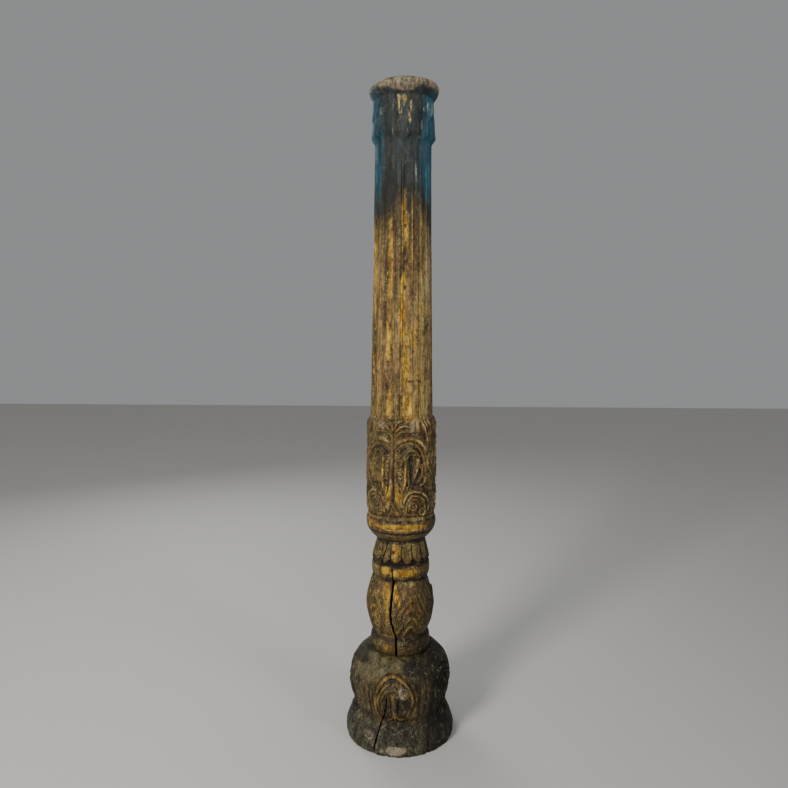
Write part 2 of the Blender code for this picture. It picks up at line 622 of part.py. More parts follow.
def log_cracks(stations, collection):
    """The long crack from the upper ring to the foot of the log, and a finer one in the bell."""
    ring_middle = UPPER_RING_Z + UPPER_RING_HEIGHT * 0.75
    long_route = [
        (-18.5, ring_middle, 0.30),
        (-15.5, UPPER_RING_Z + UPPER_RING_HEIGHT * 0.2, 0.62),
        (-14.5, UPPER_RING_Z - BULB_HEIGHT * 0.08, 0.85),
        (-15.6, BULB_Z + BULB_HEIGHT * 0.70, 1.00),
        (-16.8, BULB_Z + BULB_HEIGHT * 0.46, 0.95),
        (-13.4, BULB_Z + BULB_HEIGHT * 0.20, 0.80),
        (-8.6, BULB_Z, 0.72),
        (-7.4, LOG_Z + LOWER_RING_HEIGHT * 0.3, 0.85),
        (-7.2, LOG_Z - CRACK_CLEARANCE, 0.85),
    ]
    bell_route = [
        (-32.4, NECK_Z - BELL_HEIGHT * 0.05, 0.45),
        (-33.6, BELL_Z + BELL_HEIGHT * 0.65, 0.90),
        (-37.5, BELL_Z + BELL_HEIGHT * 0.30, 1.00),
        (-43.0, BELL_Z - BELL_GAP_HEIGHT, 0.90),
        (-45.0, UPPER_RING_Z + UPPER_RING_HEIGHT * 0.45, 0.60),
    ]
    return [
        crack_cutter("long_crack", stations, long_route, LONG_CRACK_WIDTH, LONG_CRACK_DEPTH, collection),
        crack_cutter("bell_crack", stations, bell_route, BELL_CRACK_WIDTH, BELL_CRACK_DEPTH, collection),
    ]


def base_cracks(stations, collection):
    """The crack that runs from the pot through the foot, and a short one in the foot."""
    front_route = [
        (-15.2, POT_Z - POT_RISE_HEIGHT * 0.02, 0.30),
        (-16.0, WAIST_Z + POT_RISE_HEIGHT * 0.45, 0.65),
        (-21.0, WAIST_Z + POT_RISE_HEIGHT * 0.08, 0.75),
        (-23.0, WAIST_Z - FOOT_SLOPE_HEIGHT * 0.15, 0.85),
        (-26.2, FOOT_EDGE_HEIGHT * 1.2, 1.00),
        (-26.8, -CRACK_CLEARANCE, 1.00),
    ]
    side_route = [
        (36.0, WAIST_Z, 0.30),
        (33.5, WAIST_Z - FOOT_SLOPE_HEIGHT * 0.5, 0.55),
        (30.5, FOOT_EDGE_HEIGHT, 0.55),
        (30.0, -CRACK_CLEARANCE, 0.50),
    ]
    return [
        crack_cutter("base_crack", stations, front_route, BASE_CRACK_WIDTH, BASE_CRACK_DEPTH, collection),
        crack_cutter("foot_crack", stations, side_route, BASE_CRACK_WIDTH, BASE_CRACK_DEPTH, collection),
    ]


def main():
    """Builds the two pieces."""
    for old in list(bpy.data.objects):
        bpy.data.objects.remove(old)
    pillar = bpy.data.collections.new("wooden_pillar")
    cutters = bpy.data.collections.new("cutters")
    bpy.context.scene.collection.children.link(pillar)
    bpy.context.scene.collection.children.link(cutters)

    log_stations = log_outline()
    log_mesh = turned_mesh("shaft", log_stations)
    carve(log_mesh, log_relief)
    log_mesh = simplified(log_mesh, LOG_Z, PILLAR_HEIGHT, LOG_TRIANGLE_SHARE)
    log_wood = wood("gilded_brown_wood", (0.16, 0.105, 0.045), 0.62)
    add_piece("shaft", log_mesh, log_wood, log_cracks(log_stations, cutters), pillar)

    base_stations = base_outline()
    base_mesh = turned_mesh("base", base_stations)
    carve(base_mesh, base_relief)
    base_mesh = simplified(base_mesh, 0.0, SEAT_Z, BASE_TRIANGLE_SHARE)
    base_wood = wood("dusty_grey_wood", (0.085, 0.080, 0.055), 0.78)
    add_piece("base", base_mesh, base_wood, base_cracks(base_stations, cutters), pillar)


main()
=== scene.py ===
# Looks of the carved wooden pillar: the log and its pot-shaped base, carved and finished.
import math

import bpy
import numpy as np
from mathutils import Matrix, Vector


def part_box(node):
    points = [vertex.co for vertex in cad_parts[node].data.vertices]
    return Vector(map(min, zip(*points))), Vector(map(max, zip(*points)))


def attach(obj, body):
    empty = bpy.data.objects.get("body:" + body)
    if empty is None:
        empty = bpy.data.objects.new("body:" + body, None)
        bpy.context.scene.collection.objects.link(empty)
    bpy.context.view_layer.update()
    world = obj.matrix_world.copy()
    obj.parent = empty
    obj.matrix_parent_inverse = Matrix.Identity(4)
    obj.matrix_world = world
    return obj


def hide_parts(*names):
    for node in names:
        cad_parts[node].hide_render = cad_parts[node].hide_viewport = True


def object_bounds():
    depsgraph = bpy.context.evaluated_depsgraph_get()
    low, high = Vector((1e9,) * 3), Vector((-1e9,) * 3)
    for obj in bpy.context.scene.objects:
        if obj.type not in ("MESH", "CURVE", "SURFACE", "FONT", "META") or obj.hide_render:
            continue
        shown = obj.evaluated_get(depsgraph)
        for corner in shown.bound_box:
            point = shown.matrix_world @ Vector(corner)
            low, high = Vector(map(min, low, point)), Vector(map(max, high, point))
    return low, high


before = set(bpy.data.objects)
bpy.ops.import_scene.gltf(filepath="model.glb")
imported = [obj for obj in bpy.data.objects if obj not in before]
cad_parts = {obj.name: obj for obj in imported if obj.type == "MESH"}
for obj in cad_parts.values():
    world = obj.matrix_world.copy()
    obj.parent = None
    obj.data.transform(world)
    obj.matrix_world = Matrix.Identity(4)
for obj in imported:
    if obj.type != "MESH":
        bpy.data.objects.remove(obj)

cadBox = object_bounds()
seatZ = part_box("base")[1].z
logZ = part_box("shaft")[0].z
topZ = cadBox[1].z
footRadius = (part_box("base")[1].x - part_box("base")[0].x) / 2
mm = 0.001
nearZero = 0.00001       # heights this close count as one

# the photograph's camera: its height, distance and tilt follow from the pillar's perspective
photoView = {
    "imageWidth": 788,
    "focalPixels": 676.0,
    "sensorWidth": 36.0,
    "distance": 2.0904,
    "height": 1.2888,
    "tiltDown": 5.6,
    "turnLeft": 0.66,
    "lean": 0.30,
}

# heights of the log's turned members, from its foot up, and their radii, in metres
logSizes = {
    "lowerRing": 0.0537, "bulb": 0.188, "upperRing": 0.048, "bellGap": 0.004, "bell": 0.064,
    "beadUnder": 0.056, "beadTop": 0.018, "sleeve": 0.310, "collar": 0.128, "cap": 0.043,
    "lowerRingFootRadius": 0.0880, "lowerRingRadius": 0.0945, "bulbFootRadius": 0.0860,
    "bulbRadius": 0.1088, "bulbNeckRadius": 0.0865, "upperRingRadius": 0.0915,
    "bellGapRadius": 0.0840, "bellRadius": 0.0905, "neckRadius": 0.0745, "beadRadius": 0.1090,
    "grooveRadius": 0.1045, "sleeveRadius": 0.1100, "sleeveShoulderRadius": 0.1087,
    "shaftFootRadius": 0.0970, "shaftHeadRadius": 0.0855, "collarTipRadius": 0.0970,
    "collarNeckRadius": 0.0875, "capRadius": 0.1050, "capRimRadius": 0.1010,
    "chamfer": 0.020, "columns": 560, "rowPitch": 0.0017, "shaftRowPitch": 0.0080,
    "triangles": 190000,
}

baseSizes = {
    "footEdge": 0.022, "footSlope": 0.075, "potRise": 0.081, "soleInset": 0.0015,
    "waistRadius": 0.1455, "potRadius": 0.1625, "seatRadius": 0.1070,
    "columns": 640, "rowPitch": 0.0018, "triangles": 170000,
}

bulbZ = logZ + logSizes["lowerRing"]
upperRingZ = bulbZ + logSizes["bulb"]
ringTopZ = upperRingZ + logSizes["upperRing"]
bellZ = ringTopZ + logSizes["bellGap"]
neckZ = bellZ + logSizes["bell"]
beadZ = neckZ + logSizes["beadUnder"]
sleeveZ = beadZ + logSizes["beadTop"]
shaftZ = sleeveZ + logSizes["sleeve"]
capZ = topZ - logSizes["cap"]
collarZ = capZ - logSizes["collar"]
tipZ = collarZ + logSizes["chamfer"]
waistZ = baseSizes["footEdge"] + baseSizes["footSlope"]
potZ = waistZ + baseSizes["potRise"]


# noise and soft masks

def latticeNoise(points, scale, seed=0):
    # smooth noise from -1 to 1; scale is in cells a metre, one number or one an axis
    place = points * np.asarray(scale, float)
    floor = np.floor(place)
    part = (place - floor).astype(np.float32)
    part = part * part * (3 - 2 * part)
    cell = floor.astype(np.int64).astype(np.uint32)
    across = [cell[:, 0] * np.uint32(374761393) + np.uint32(seed * 7919 + 1013), None]
    along = [cell[:, 1] * np.uint32(668265263), None]
    above = [cell[:, 2] * np.uint32(1440662683), None]
    across[1] = across[0] + np.uint32(374761393)
    along[1] = along[0] + np.uint32(668265263)
    above[1] = above[0] + np.uint32(1440662683)
    total = np.zeros(len(points), np.float32)
    for i, j, k in np.ndindex(2, 2, 2):
        h = across[i] + along[j] + above[k]
        h = (h ^ (h >> 13)) * np.uint32(1274126177)
        value = ((h ^ (h >> 16)) & np.uint32(0xFFFF)).astype(np.float32) / 32767.5 - 1
        weight = (part[:, 0] if i else 1 - part[:, 0]) * (part[:, 1] if j else 1 - part[:, 1])
        total += value * weight * (part[:, 2] if k else 1 - part[:, 2])
    return total.astype(float)


def soft(value):
    share = np.clip(value, 0, 1)
    return share * share * (3 - 2 * share)


def nearest(azimuth, turn, count):
    # degrees from the nearest of count places round the wood
    pitch = 360 / count
    return (azimuth - turn + pitch / 2) % pitch - pitch / 2


def angleFrom(azimuth, middle):
    return (azimuth - middle + 180) % 360 - 180


# carver's strokes on the unrolled surface, in millimetres across and up

def throughPoints(points, steps=6):
    # smooth line through points that were placed one by one
    p = np.array(points, float)
    p = np.vstack([2 * p[0] - p[1], p, 2 * p[-1] - p[-2]])
    line = []
    for i in range(1, len(p) - 2):
        for t in np.arange(steps) / steps:
            line.append(0.5 * (2 * p[i] + (p[i + 1] - p[i - 1]) * t
                               + (2 * p[i - 1] - 5 * p[i] + 4 * p[i + 1] - p[i + 2]) * t * t
                               + (3 * p[i] - p[i - 1] - 3 * p[i + 1] + p[i + 2]) * t ** 3))
    line.append(p[-2])
    return np.array(line)


def stroke(field, across, up, points, width, height=1.0, endWidth=None, power=0.5):
    # raises field along a line: full height on the line, nothing at its edges
    line = throughPoints(points)
    endWidth = width if endWidth is None else endWidth
    widest = max(width, endWidth)
    low = line.min(axis=0) - widest
    high = line.max(axis=0) + widest
    near = np.flatnonzero((across > low[0]) & (across < high[0]) & (up > low[1]) & (up < high[1]))
    if not len(near):
        return
    s = across[near]
    t = up[near]
    best = np.zeros(len(near))
    last = len(line) - 1
    for i in range(last):
        a = line[i]
        run = line[i + 1] - a
        length = max(run @ run, 1e-9)
        share = np.clip(((s - a[0]) * run[0] + (t - a[1]) * run[1]) / length, 0, 1)
        distance = np.hypot(s - a[0] - share * run[0], t - a[1] - share * run[1])
        reach = (width + (endWidth - width) * (i + share) / last) / 2
        best = np.maximum(best, 1 - (distance / np.maximum(reach, 0.1)) ** 2)
    field[near] = np.maximum(field[near], height * np.clip(best, 0, 1) ** power)


def knob(field, across, up, centre, radius, ring, height):
    # a round knob, or a ring if ring gives its band's width
    distance = np.hypot(across - centre[0], up - centre[1])
    value = 1 - ((distance - radius) / (ring / 2)) ** 2 if ring else 1 - (distance / radius) ** 2
    np.maximum(field, height * np.sqrt(np.clip(value, 0, 1)), out=field)


def drawMap(design, low, high, step=0.6):
    # draws a design once on a flat grid; ridges and gouges are (width, end width, height, points)
    columns = np.arange(low[0], high[0] + step, step)
    rows = np.arange(low[1], high[1] + step, step)
    across, up = [grid.ravel() for grid in np.meshgrid(columns, rows)]
    raised = np.zeros(across.size)
    cut = np.zeros(across.size)
    spread = design.get("spread", 1)
    for width, endWidth, height, points in design.get("ridges", []):
        stroke(raised, across, up, points, width * spread, height, endWidth * spread)
    for centre, radius, ring, height in design.get("knobs", []):
        knob(raised, across, up, centre, radius, ring, height)
    for width, endWidth, height, points in design.get("gouges", []):
        stroke(cut, across, up, points, width, height, endWidth, 1.0)
    shape = (len(rows), len(columns))
    return {"low": low, "step": step, "raised": raised.reshape(shape), "cut": cut.reshape(shape)}


def readMap(drawing, layer, across, up):
    # height of the drawn layer at each place, blended between its grid points
    grid = drawing[layer]
    x = np.clip((across - drawing["low"][0]) / drawing["step"], 0, grid.shape[1] - 1.001)
    y = np.clip((up - drawing["low"][1]) / drawing["step"], 0, grid.shape[0] - 1.001)
    i = x.astype(int)
    j = y.astype(int)
    x = x - i
    y = y - j
    lower = grid[j, i] * (1 - x) + grid[j, i + 1] * x
    upper = grid[j + 1, i] * (1 - x) + grid[j + 1, i + 1] * x
    return lower * (1 - y) + upper * y


# turned outlines

def rowsBetween(low, high, pitch):
    rows = max(3, round((high - low) / pitch))
    return [low + (high - low) * i / rows for i in range(rows)]


def bend(low, high, lowRadius, highRadius, flat, roundOff, pitch):
    # one bend of an outline from low to high, flat at its wide end
    rows = []
    for z in rowsBetween(low, high, pitch):
        share = (z - low) / (high - low)
        if lowRadius > highRadius:
            drop = 1 - (1 - share ** flat) ** roundOff
            rows.append((z, lowRadius + (highRadius - lowRadius) * drop))
        else:
            drop = 1 - (1 - (1 - share) ** flat) ** roundOff
            rows.append((z, highRadius + (lowRadius - highRadius) * drop))
    return rows


def shaftRadius(z):
    share = np.clip((collarZ - z) / (collarZ - shaftZ), 0, 1)
    swell = logSizes["shaftFootRadius"] - logSizes["shaftHeadRadius"]
    return logSizes["shaftHeadRadius"] + swell * share ** 1.35


def logOutline():
    s = logSizes
    pitch = s["rowPitch"]
    ringBelly = logZ + s["lowerRing"] * 0.44
    bulbBelly = bulbZ + s["bulb"] * 0.48
    upperBelly = upperRingZ + s["upperRing"] * 0.52
    sleeveBelly = sleeveZ + s["sleeve"] * 0.28
    shoulderZ = sleeveZ + s["sleeve"] * 0.915
    capBelly = capZ + s["cap"] * 0.79
    rows = bend(logZ, ringBelly, s["lowerRingFootRadius"], s["lowerRingRadius"], 2, 0.6, pitch)
    rows += bend(ringBelly, bulbZ, s["lowerRingRadius"], s["bulbFootRadius"], 2, 0.6, pitch)
    rows += bend(bulbZ, bulbBelly, s["bulbFootRadius"], s["bulbRadius"], 1.75, 1, pitch)
    rows += bend(bulbBelly, upperRingZ, s["bulbRadius"], s["bulbNeckRadius"], 1.75, 1, pitch)
    rows += bend(upperRingZ, upperBelly, s["bulbNeckRadius"], s["upperRingRadius"], 2, 0.6, pitch)
    rows += bend(upperBelly, ringTopZ, s["upperRingRadius"], s["bellGapRadius"], 2, 0.6, pitch)
    rows += bend(ringTopZ, bellZ, s["bellGapRadius"], s["bellRadius"], 2, 1, pitch)
    rows += bend(bellZ, neckZ, s["bellRadius"], s["neckRadius"], 1.25, 1, pitch)
    rows += bend(neckZ, beadZ, s["neckRadius"], s["beadRadius"], 2.2, 1, pitch)
    rows += bend(beadZ, sleeveZ, s["beadRadius"], s["grooveRadius"], 2, 0.7, pitch)
    rows += bend(sleeveZ, sleeveBelly, s["grooveRadius"], s["sleeveRadius"], 3.5, 1, pitch)
    rows += bend(sleeveBelly, shoulderZ, s["sleeveRadius"], s["sleeveShoulderRadius"], 1.5, 1, pitch)
    rows += bend(shoulderZ, shaftZ, s["sleeveShoulderRadius"], s["shaftFootRadius"], 2, 0.6, pitch)
    fluteFoot = shaftZ + 0.040
    fluteHead = collarZ - 0.100
    heights = rowsBetween(shaftZ, fluteFoot, pitch)
    heights += rowsBetween(fluteFoot, fluteHead, s["shaftRowPitch"])
    heights += rowsBetween(fluteHead, collarZ, pitch * 1.6)
    rows += [(z, float(shaftRadius(z))) for z in heights]
    rows += bend(collarZ, tipZ, s["shaftHeadRadius"], s["collarTipRadius"], 1, 1, pitch)
    flare = s["collarTipRadius"] - s["collarNeckRadius"]
    for z in rowsBetween(tipZ, capZ, pitch):
        rows.append((z, s["collarNeckRadius"] + flare * ((capZ - z) / (capZ - tipZ)) ** 1.4))
    rows += bend(capZ, capBelly, s["collarNeckRadius"], s["capRadius"], 2.2, 1, pitch)
    rows += bend(capBelly, topZ, s["capRadius"], s["capRimRadius"], 2, 0.6, 0.001)
    rows.append((topZ, s["capRimRadius"]))
    return rows


def baseOutline():
    s = baseSizes
    pitch = s["rowPitch"]
    rows = bend(0, s["footEdge"], footRadius - s["soleInset"], footRadius, 2, 1, pitch)
    rows += bend(s["footEdge"], waistZ, footRadius, s["waistRadius"], 1.25, 1, pitch)
    rows += bend(waistZ, potZ, s["waistRadius"], s["potRadius"], 1.25, 1, pitch)
    rows += bend(potZ, seatZ, s["potRadius"], s["seatRadius"], 1.8, 0.55, pitch)
    rows.append((seatZ, s["seatRadius"]))
    return rows


def flatFace(z, radius, pitch):
    # rows across a flat end, from the middle out, without the rim
    rings = max(3, round(radius / pitch))
    return [(z, radius * i / rings) for i in range(rings)]


def meshPoints(piece):
    flat = np.empty(len(piece.data.vertices) * 3)
    piece.data.vertices.foreach_get("co", flat)
    return flat.reshape(-1, 3)


def dropVertices(piece, indices):
    bpy.ops.mesh.select_all(action="DESELECT")
    bpy.ops.object.mode_set(mode="OBJECT")
    for index in indices:
        piece.data.vertices[int(index)].select = True
    bpy.ops.object.mode_set(mode="EDIT")
    bpy.ops.mesh.delete(type="VERT")


def turn(name, rows, columns):
    # a plane is cut down to one edge, divided, bent to the outline and spun round by a Screw modifier
    bpy.ops.object.select_all(action="DESELECT")
    bpy.ops.mesh.primitive_plane_add(size=1)
    piece = bpy.context.active_object
    piece.name = name
    piece.data.name = name
    bpy.ops.object.mode_set(mode="EDIT")
    bpy.ops.mesh.select_all(action="SELECT")
    bpy.ops.mesh.delete(type="ONLY_FACE")
    dropVertices(piece, [2, 3])
    while len(piece.data.vertices) < len(rows):
        bpy.ops.mesh.select_all(action="SELECT")
        bpy.ops.mesh.subdivide(number_cuts=1)
        piece.update_from_editmode()
    dropVertices(piece, np.argsort(meshPoints(piece)[:, 0])[len(rows):])
    bpy.ops.object.mode_set(mode="OBJECT")
    order = np.argsort(meshPoints(piece)[:, 0])
    placed = np.zeros((len(rows), 3))
    placed[order, 0] = [radius for _, radius in rows]
    placed[order, 2] = [z for z, _ in rows]
    piece.data.vertices.foreach_set("co", placed.ravel())
    spun = piece.modifiers.new("spun", "SCREW")
    spun.steps = columns
    spun.render_steps = columns
    bpy.ops.object.modifier_apply(modifier=spun.name)
    bpy.ops.object.mode_set(mode="EDIT")
    bpy.ops.mesh.select_all(action="SELECT")
    bpy.ops.mesh.remove_doubles(threshold=0.00002)
    bpy.ops.mesh.normals_make_consistent(inside=False)
    bpy.ops.object.mode_set(mode="OBJECT")
    return piece


def azimuthOf(points):
    return np.degrees(np.arctan2(points[:, 0], -points[:, 1]))


def thinOut(piece, triangles):
    # keeps close triangles only where the carving bends
    quads = len(piece.data.polygons)
    thin = piece.modifiers.new("thin", "DECIMATE")
    thin.ratio = min(1, triangles / (2 * quads))
    thin.use_collapse_triangulate = True
    bpy.ops.object.select_all(action="DESELECT")
    bpy.context.view_layer.objects.active = piece
    piece.select_set(True)
    bpy.ops.object.modifier_apply(modifier=thin.name)
    bpy.ops.object.shade_smooth_by_angle(angle=math.radians(50))


def keepField(piece, name, values):
    layer = piece.data.attributes.new(name, "FLOAT", "POINT")
    layer.data.foreach_set("value", values.astype(np.float32))


# flutes

flutes = {
    "count": 10, "turn": 9.7, "depth": 5.6, "hollowWidth": 29, "filletWidth": 5, "groove": 2.2,
    "beadRise": 1.2,
    "headDrop": 0.060, "footRise": 0.004, "endLength": 0.020, "wander": 1.3,
    "goldElsewhere": [(1.018, 0.45), (1.12, 0.60), (1.30, 0.50), (1.45, 0.65), (1.60, 0.55), (1.68, 0.2),
                      (1.72, 0)],
    # stripes that keep their gold: azimuth and half width in degrees, then height and amount
    "stripes": [
        (-75, 12, [(1.018, 0.35), (1.20, 0.42), (1.35, 0.45), (1.50, 0.60), (1.58, 0.66), (1.62, 0.40),
                   (1.65, 0)]),
        (-57, 1.8, [(1.018, 0.55), (1.30, 0.75), (1.50, 0.80), (1.58, 0.85), (1.66, 0.4), (1.68, 0)]),
        (-47, 1.3, [(1.018, 0.60), (1.20, 0.50), (1.30, 0.70), (1.45, 0.60), (1.60, 0.55), (1.64, 0)]),
        (-26, 5.8, [(1.018, 0.85), (1.05, 0.9), (1.085, 0.75), (1.11, 0.20), (1.18, 0.26), (1.21, 0.75),
                    (1.26, 0.95), (1.30, 0.80), (1.34, 0.48), (1.40, 0.58), (1.50, 0.78), (1.58, 0.60),
                    (1.64, 0.30), (1.67, 0)]),
        (12, 8.5, [(1.018, 1.0), (1.07, 1.0), (1.09, 0.5), (1.12, 0.1), (1.14, 0)]),
        (8, 8.5, [(1.09, 0), (1.12, 0.75), (1.16, 0.95), (1.20, 0.70), (1.215, 0.25), (1.26, 0.30),
                  (1.27, 0)]),
        (18, 12, [(1.10, 0), (1.16, 0.45), (1.21, 0.30), (1.235, 0.70), (1.27, 0.62), (1.30, 0.35),
                  (1.36, 0.1), (1.40, 0)]),
        (1, 6.0, [(1.23, 0), (1.27, 0.85), (1.34, 0.95), (1.42, 0.92), (1.455, 0.5), (1.47, 0.25),
                  (1.51, 0.30), (1.54, 0)]),
        (4, 6.5, [(1.46, 0.1), (1.52, 0.45), (1.55, 0.85), (1.60, 0.80), (1.63, 0.66), (1.67, 0.50),
                  (1.70, 0.25), (1.72, 0)]),
        (19, 1.3, [(1.33, 0), (1.40, 0.6), (1.58, 0.85), (1.66, 0.6), (1.70, 0)]),
        (30, 1.6, [(1.018, 0.6), (1.10, 0.7), (1.20, 0.55), (1.30, 0.2), (1.34, 0)]),
        (41, 5.5, [(1.018, 0.50), (1.06, 0.72), (1.13, 0.60), (1.20, 0.50), (1.28, 0.72), (1.38, 0.80),
                   (1.43, 0.60), (1.50, 0.62), (1.60, 0.66), (1.68, 0.45), (1.74, 0.20), (1.80, 0)]),
        (62, 3.0, [(1.018, 0.25), (1.2, 0.45), (1.4, 0.35), (1.55, 0.25), (1.62, 0)]),
    ],
}


def fluteRelief(azimuth, z, points):
    # the relief in millimetres, how far into a hollow, its dark lines and its beads
    f = flutes
    radius = shaftRadius(z)
    sway = latticeNoise(points, (9, 9, 3.2), 21) * f["wander"] + latticeNoise(points, (30, 30, 14), 22) * 0.45
    offset = nearest(azimuth + np.degrees(sway * mm / radius), f["turn"], f["count"])
    across = np.abs(np.radians(offset)) * radius / mm
    hollowHalf = f["hollowWidth"] / 2 * radius / 0.090
    beadHalf = np.radians(180 / f["count"]) * radius / mm - hollowHalf - f["filletWidth"]
    share = np.clip(across / hollowHalf, 0, 1)
    hollow = np.sqrt(1 - share ** 3)
    ends = np.minimum(z - shaftZ - f["footRise"], collarZ - f["headDrop"] - z) / f["endLength"]
    ends = ends + latticeNoise(points, 28, 23) * 0.25
    openPart = np.sqrt(np.clip(ends - share * share * 0.7, 0, 1))
    fromBead = across - hollowHalf - f["filletWidth"]
    bead = np.clip(1 - (fromBead / np.maximum(beadHalf, 1) - 1) ** 2, 0, 1)
    groove = f["groove"] * np.clip(1 - np.abs(fromBead) / 2.0, 0, 1) * np.clip(ends + 0.6, 0, 1)
    relief = -f["depth"] * hollow * openPart - groove + f["beadRise"] * bead * (fromBead > 0) - 0.8
    line = np.clip(1 - np.abs(fromBead) / 2.4, 0, 1) * (0.7 + 0.6 * latticeNoise(points, (20, 20, 14), 26))
    return relief, hollow * openPart, np.clip(line, 0, 1), bead * (fromBead > 0)


def fluteGold(azimuth, z, hollow, points):
    table = np.array(flutes["goldElsewhere"])
    behind = soft((np.abs(azimuth) - 84) / 8)
    amount = np.interp(z, table[:, 0], table[:, 1]) * (0.24 + 0.74 * soft(hollow * 1.25 - 0.2)) * behind
    sway = latticeNoise(points, (16, 16, 9), 24) * 2.2 + latticeNoise(points, (60, 60, 40), 25) * 1.2
    for middle, half, rows in flutes["stripes"]:
        table = np.array(rows)
        along = np.interp(z, table[:, 0], table[:, 1])
        near = soft((half - np.abs(angleFrom(azimuth + sway, middle))) / (1 + 0.35 * half) + 0.55)
        amount = np.maximum(amount, along * near)
    return np.maximum(amount, 0.18 * (z < 1.64))


# collar and cap

collar = {
    "leaves": 5, "turn": -1.0, "point": 0.075, "budLength": 62, "budWidth": 36, "budRelief": 4.0,
    "cut": 1.7, "edge": 8, "wornEdge": 34, "wornSpread": 46,
    "gouges": [
        (3.0, 2.0, 0.5, [(4, 74), (14, 56), (26, 44)]),
        (3.0, 1.6, 0.5, [(16, 98), (28, 76), (44, 62)]),
        (2.6, 1.6, 0.5, [(28, 118), (38, 96), (50, 84)]),
    ],
    "ridges": [
        (12, 5, 0.7, [(31, 128), (30, 112), (25, 98)]),
        (11, 5, 0.6, [(45, 128), (45, 118), (41, 108)]),
        (9, 4, 0.45, [(10, 88), (22, 66), (36, 52)]),
        (9, 4, 0.45, [(24, 110), (36, 88), (50, 74)]),
    ],
}


def wornFront(azimuth):
    # 1 where the collar's front is rubbed nearly flat
    return soft((collar["wornSpread"] - np.abs(azimuth + 2)) / 16)


def collarRelief(azimuth, z, radius, points):
    c = collar
    sway = latticeNoise(points, 22, 31) * 1.2
    angle = nearest(azimuth + sway, c["turn"], c["leaves"])
    upLeaf = np.clip((z - collarZ) / c["point"], 0, 1)
    half = 180 / c["leaves"] * np.sqrt(1 - (1 - upLeaf) ** 2.6)
    edge = np.radians(half - np.abs(angle)) * radius / mm
    blur = c["edge"] + c["wornEdge"] * wornFront(azimuth)
    inside = np.where(z > collarZ + c["point"], 1.0, soft(edge / blur + 0.5))
    fallen = (logSizes["shaftHeadRadius"] - radius) / mm * (1 - inside)
    across = np.radians(angle) * logSizes["collarNeckRadius"] / mm
    up = (z - collarZ) / mm
    side = np.abs(across)
    drawing = drawMap(c, (0, 0), (60, 130))
    downBud = np.clip((capZ - z) / mm / c["budLength"], 0, 1)
    budHalf = c["budWidth"] / 2 * np.sqrt(1 - downBud ** 2.2)
    bud = np.sqrt(np.clip(1 - ((across + 6) / np.maximum(budHalf, 0.1)) ** 2, 0, 1))
    vein = np.clip(1 - np.abs(across + 6) / 1.8, 0, 1) * bud
    face = np.maximum(bud - 0.5 * vein, readMap(drawing, "raised", side, up) * 0.7) * inside
    relief = fallen + c["budRelief"] * face - c["cut"] * readMap(drawing, "cut", side, up) * inside
    return relief, face


cap = {"wearTurn": -62, "wearSpread": 46, "wearDepth": 13, "wearHeight": 0.016, "splits": 26, "seed": 7}


def capRelief(azimuth, z, points):
    c = cap
    around = np.exp(-(angleFrom(azimuth, c["wearTurn"]) / c["wearSpread"]) ** 2)
    wear = -c["wearDepth"] * around * soft(1 - (topZ - z) / c["wearHeight"])
    coarse = latticeNoise(points, (45, 45, 60), 41)
    fine = latticeNoise(points, (120, 120, 150), 42)
    broken = soft((z - capZ) / logSizes["cap"] * 2.1 - 0.32 + coarse * 0.3
                  + 0.40 * soft(1.4 - np.abs(azimuth + 4) / 24) - 0.42 * soft((azimuth - 22) / 20)
                  - 0.34 * soft((-azimuth - 32) / 20))
    rough = -(np.clip(coarse + 0.15, 0, 1) * 2.6 + np.abs(fine) * 1.0) * broken * (1 - 0.6 * around)
    rng = np.random.default_rng(c["seed"])
    splits = []
    for start in rng.uniform(-325, 325, c["splits"]):
        low = rng.uniform(6, 26)
        shift = rng.normal(0, 2)
        line = [(start, 46), (start + shift, low + 8), (start, low)]
        splits.append((rng.uniform(2, 4.5), 0.8, rng.uniform(0.5, 1), line))
    drawing = drawMap({"gouges": splits}, (-332, 0), (332, 46), 0.9)
    across = np.radians(azimuth) * logSizes["capRadius"] / mm
    cut = readMap(drawing, "cut", across, (z - capZ) / mm)
    edge = -1.4 * soft(1 - (topZ - z) / 0.004)
    return wear + rough - 2.4 * cut + edge, broken, np.clip(cut * 0.6 - coarse * 0.5 + 0.1, 0, 0.8) * broken


# sleeve: arches over scrolls, stems with paired leaves, lobes along the top
# across runs from a leafy stem at 0 to a plain joint at 138, up from the sleeve's foot to 310

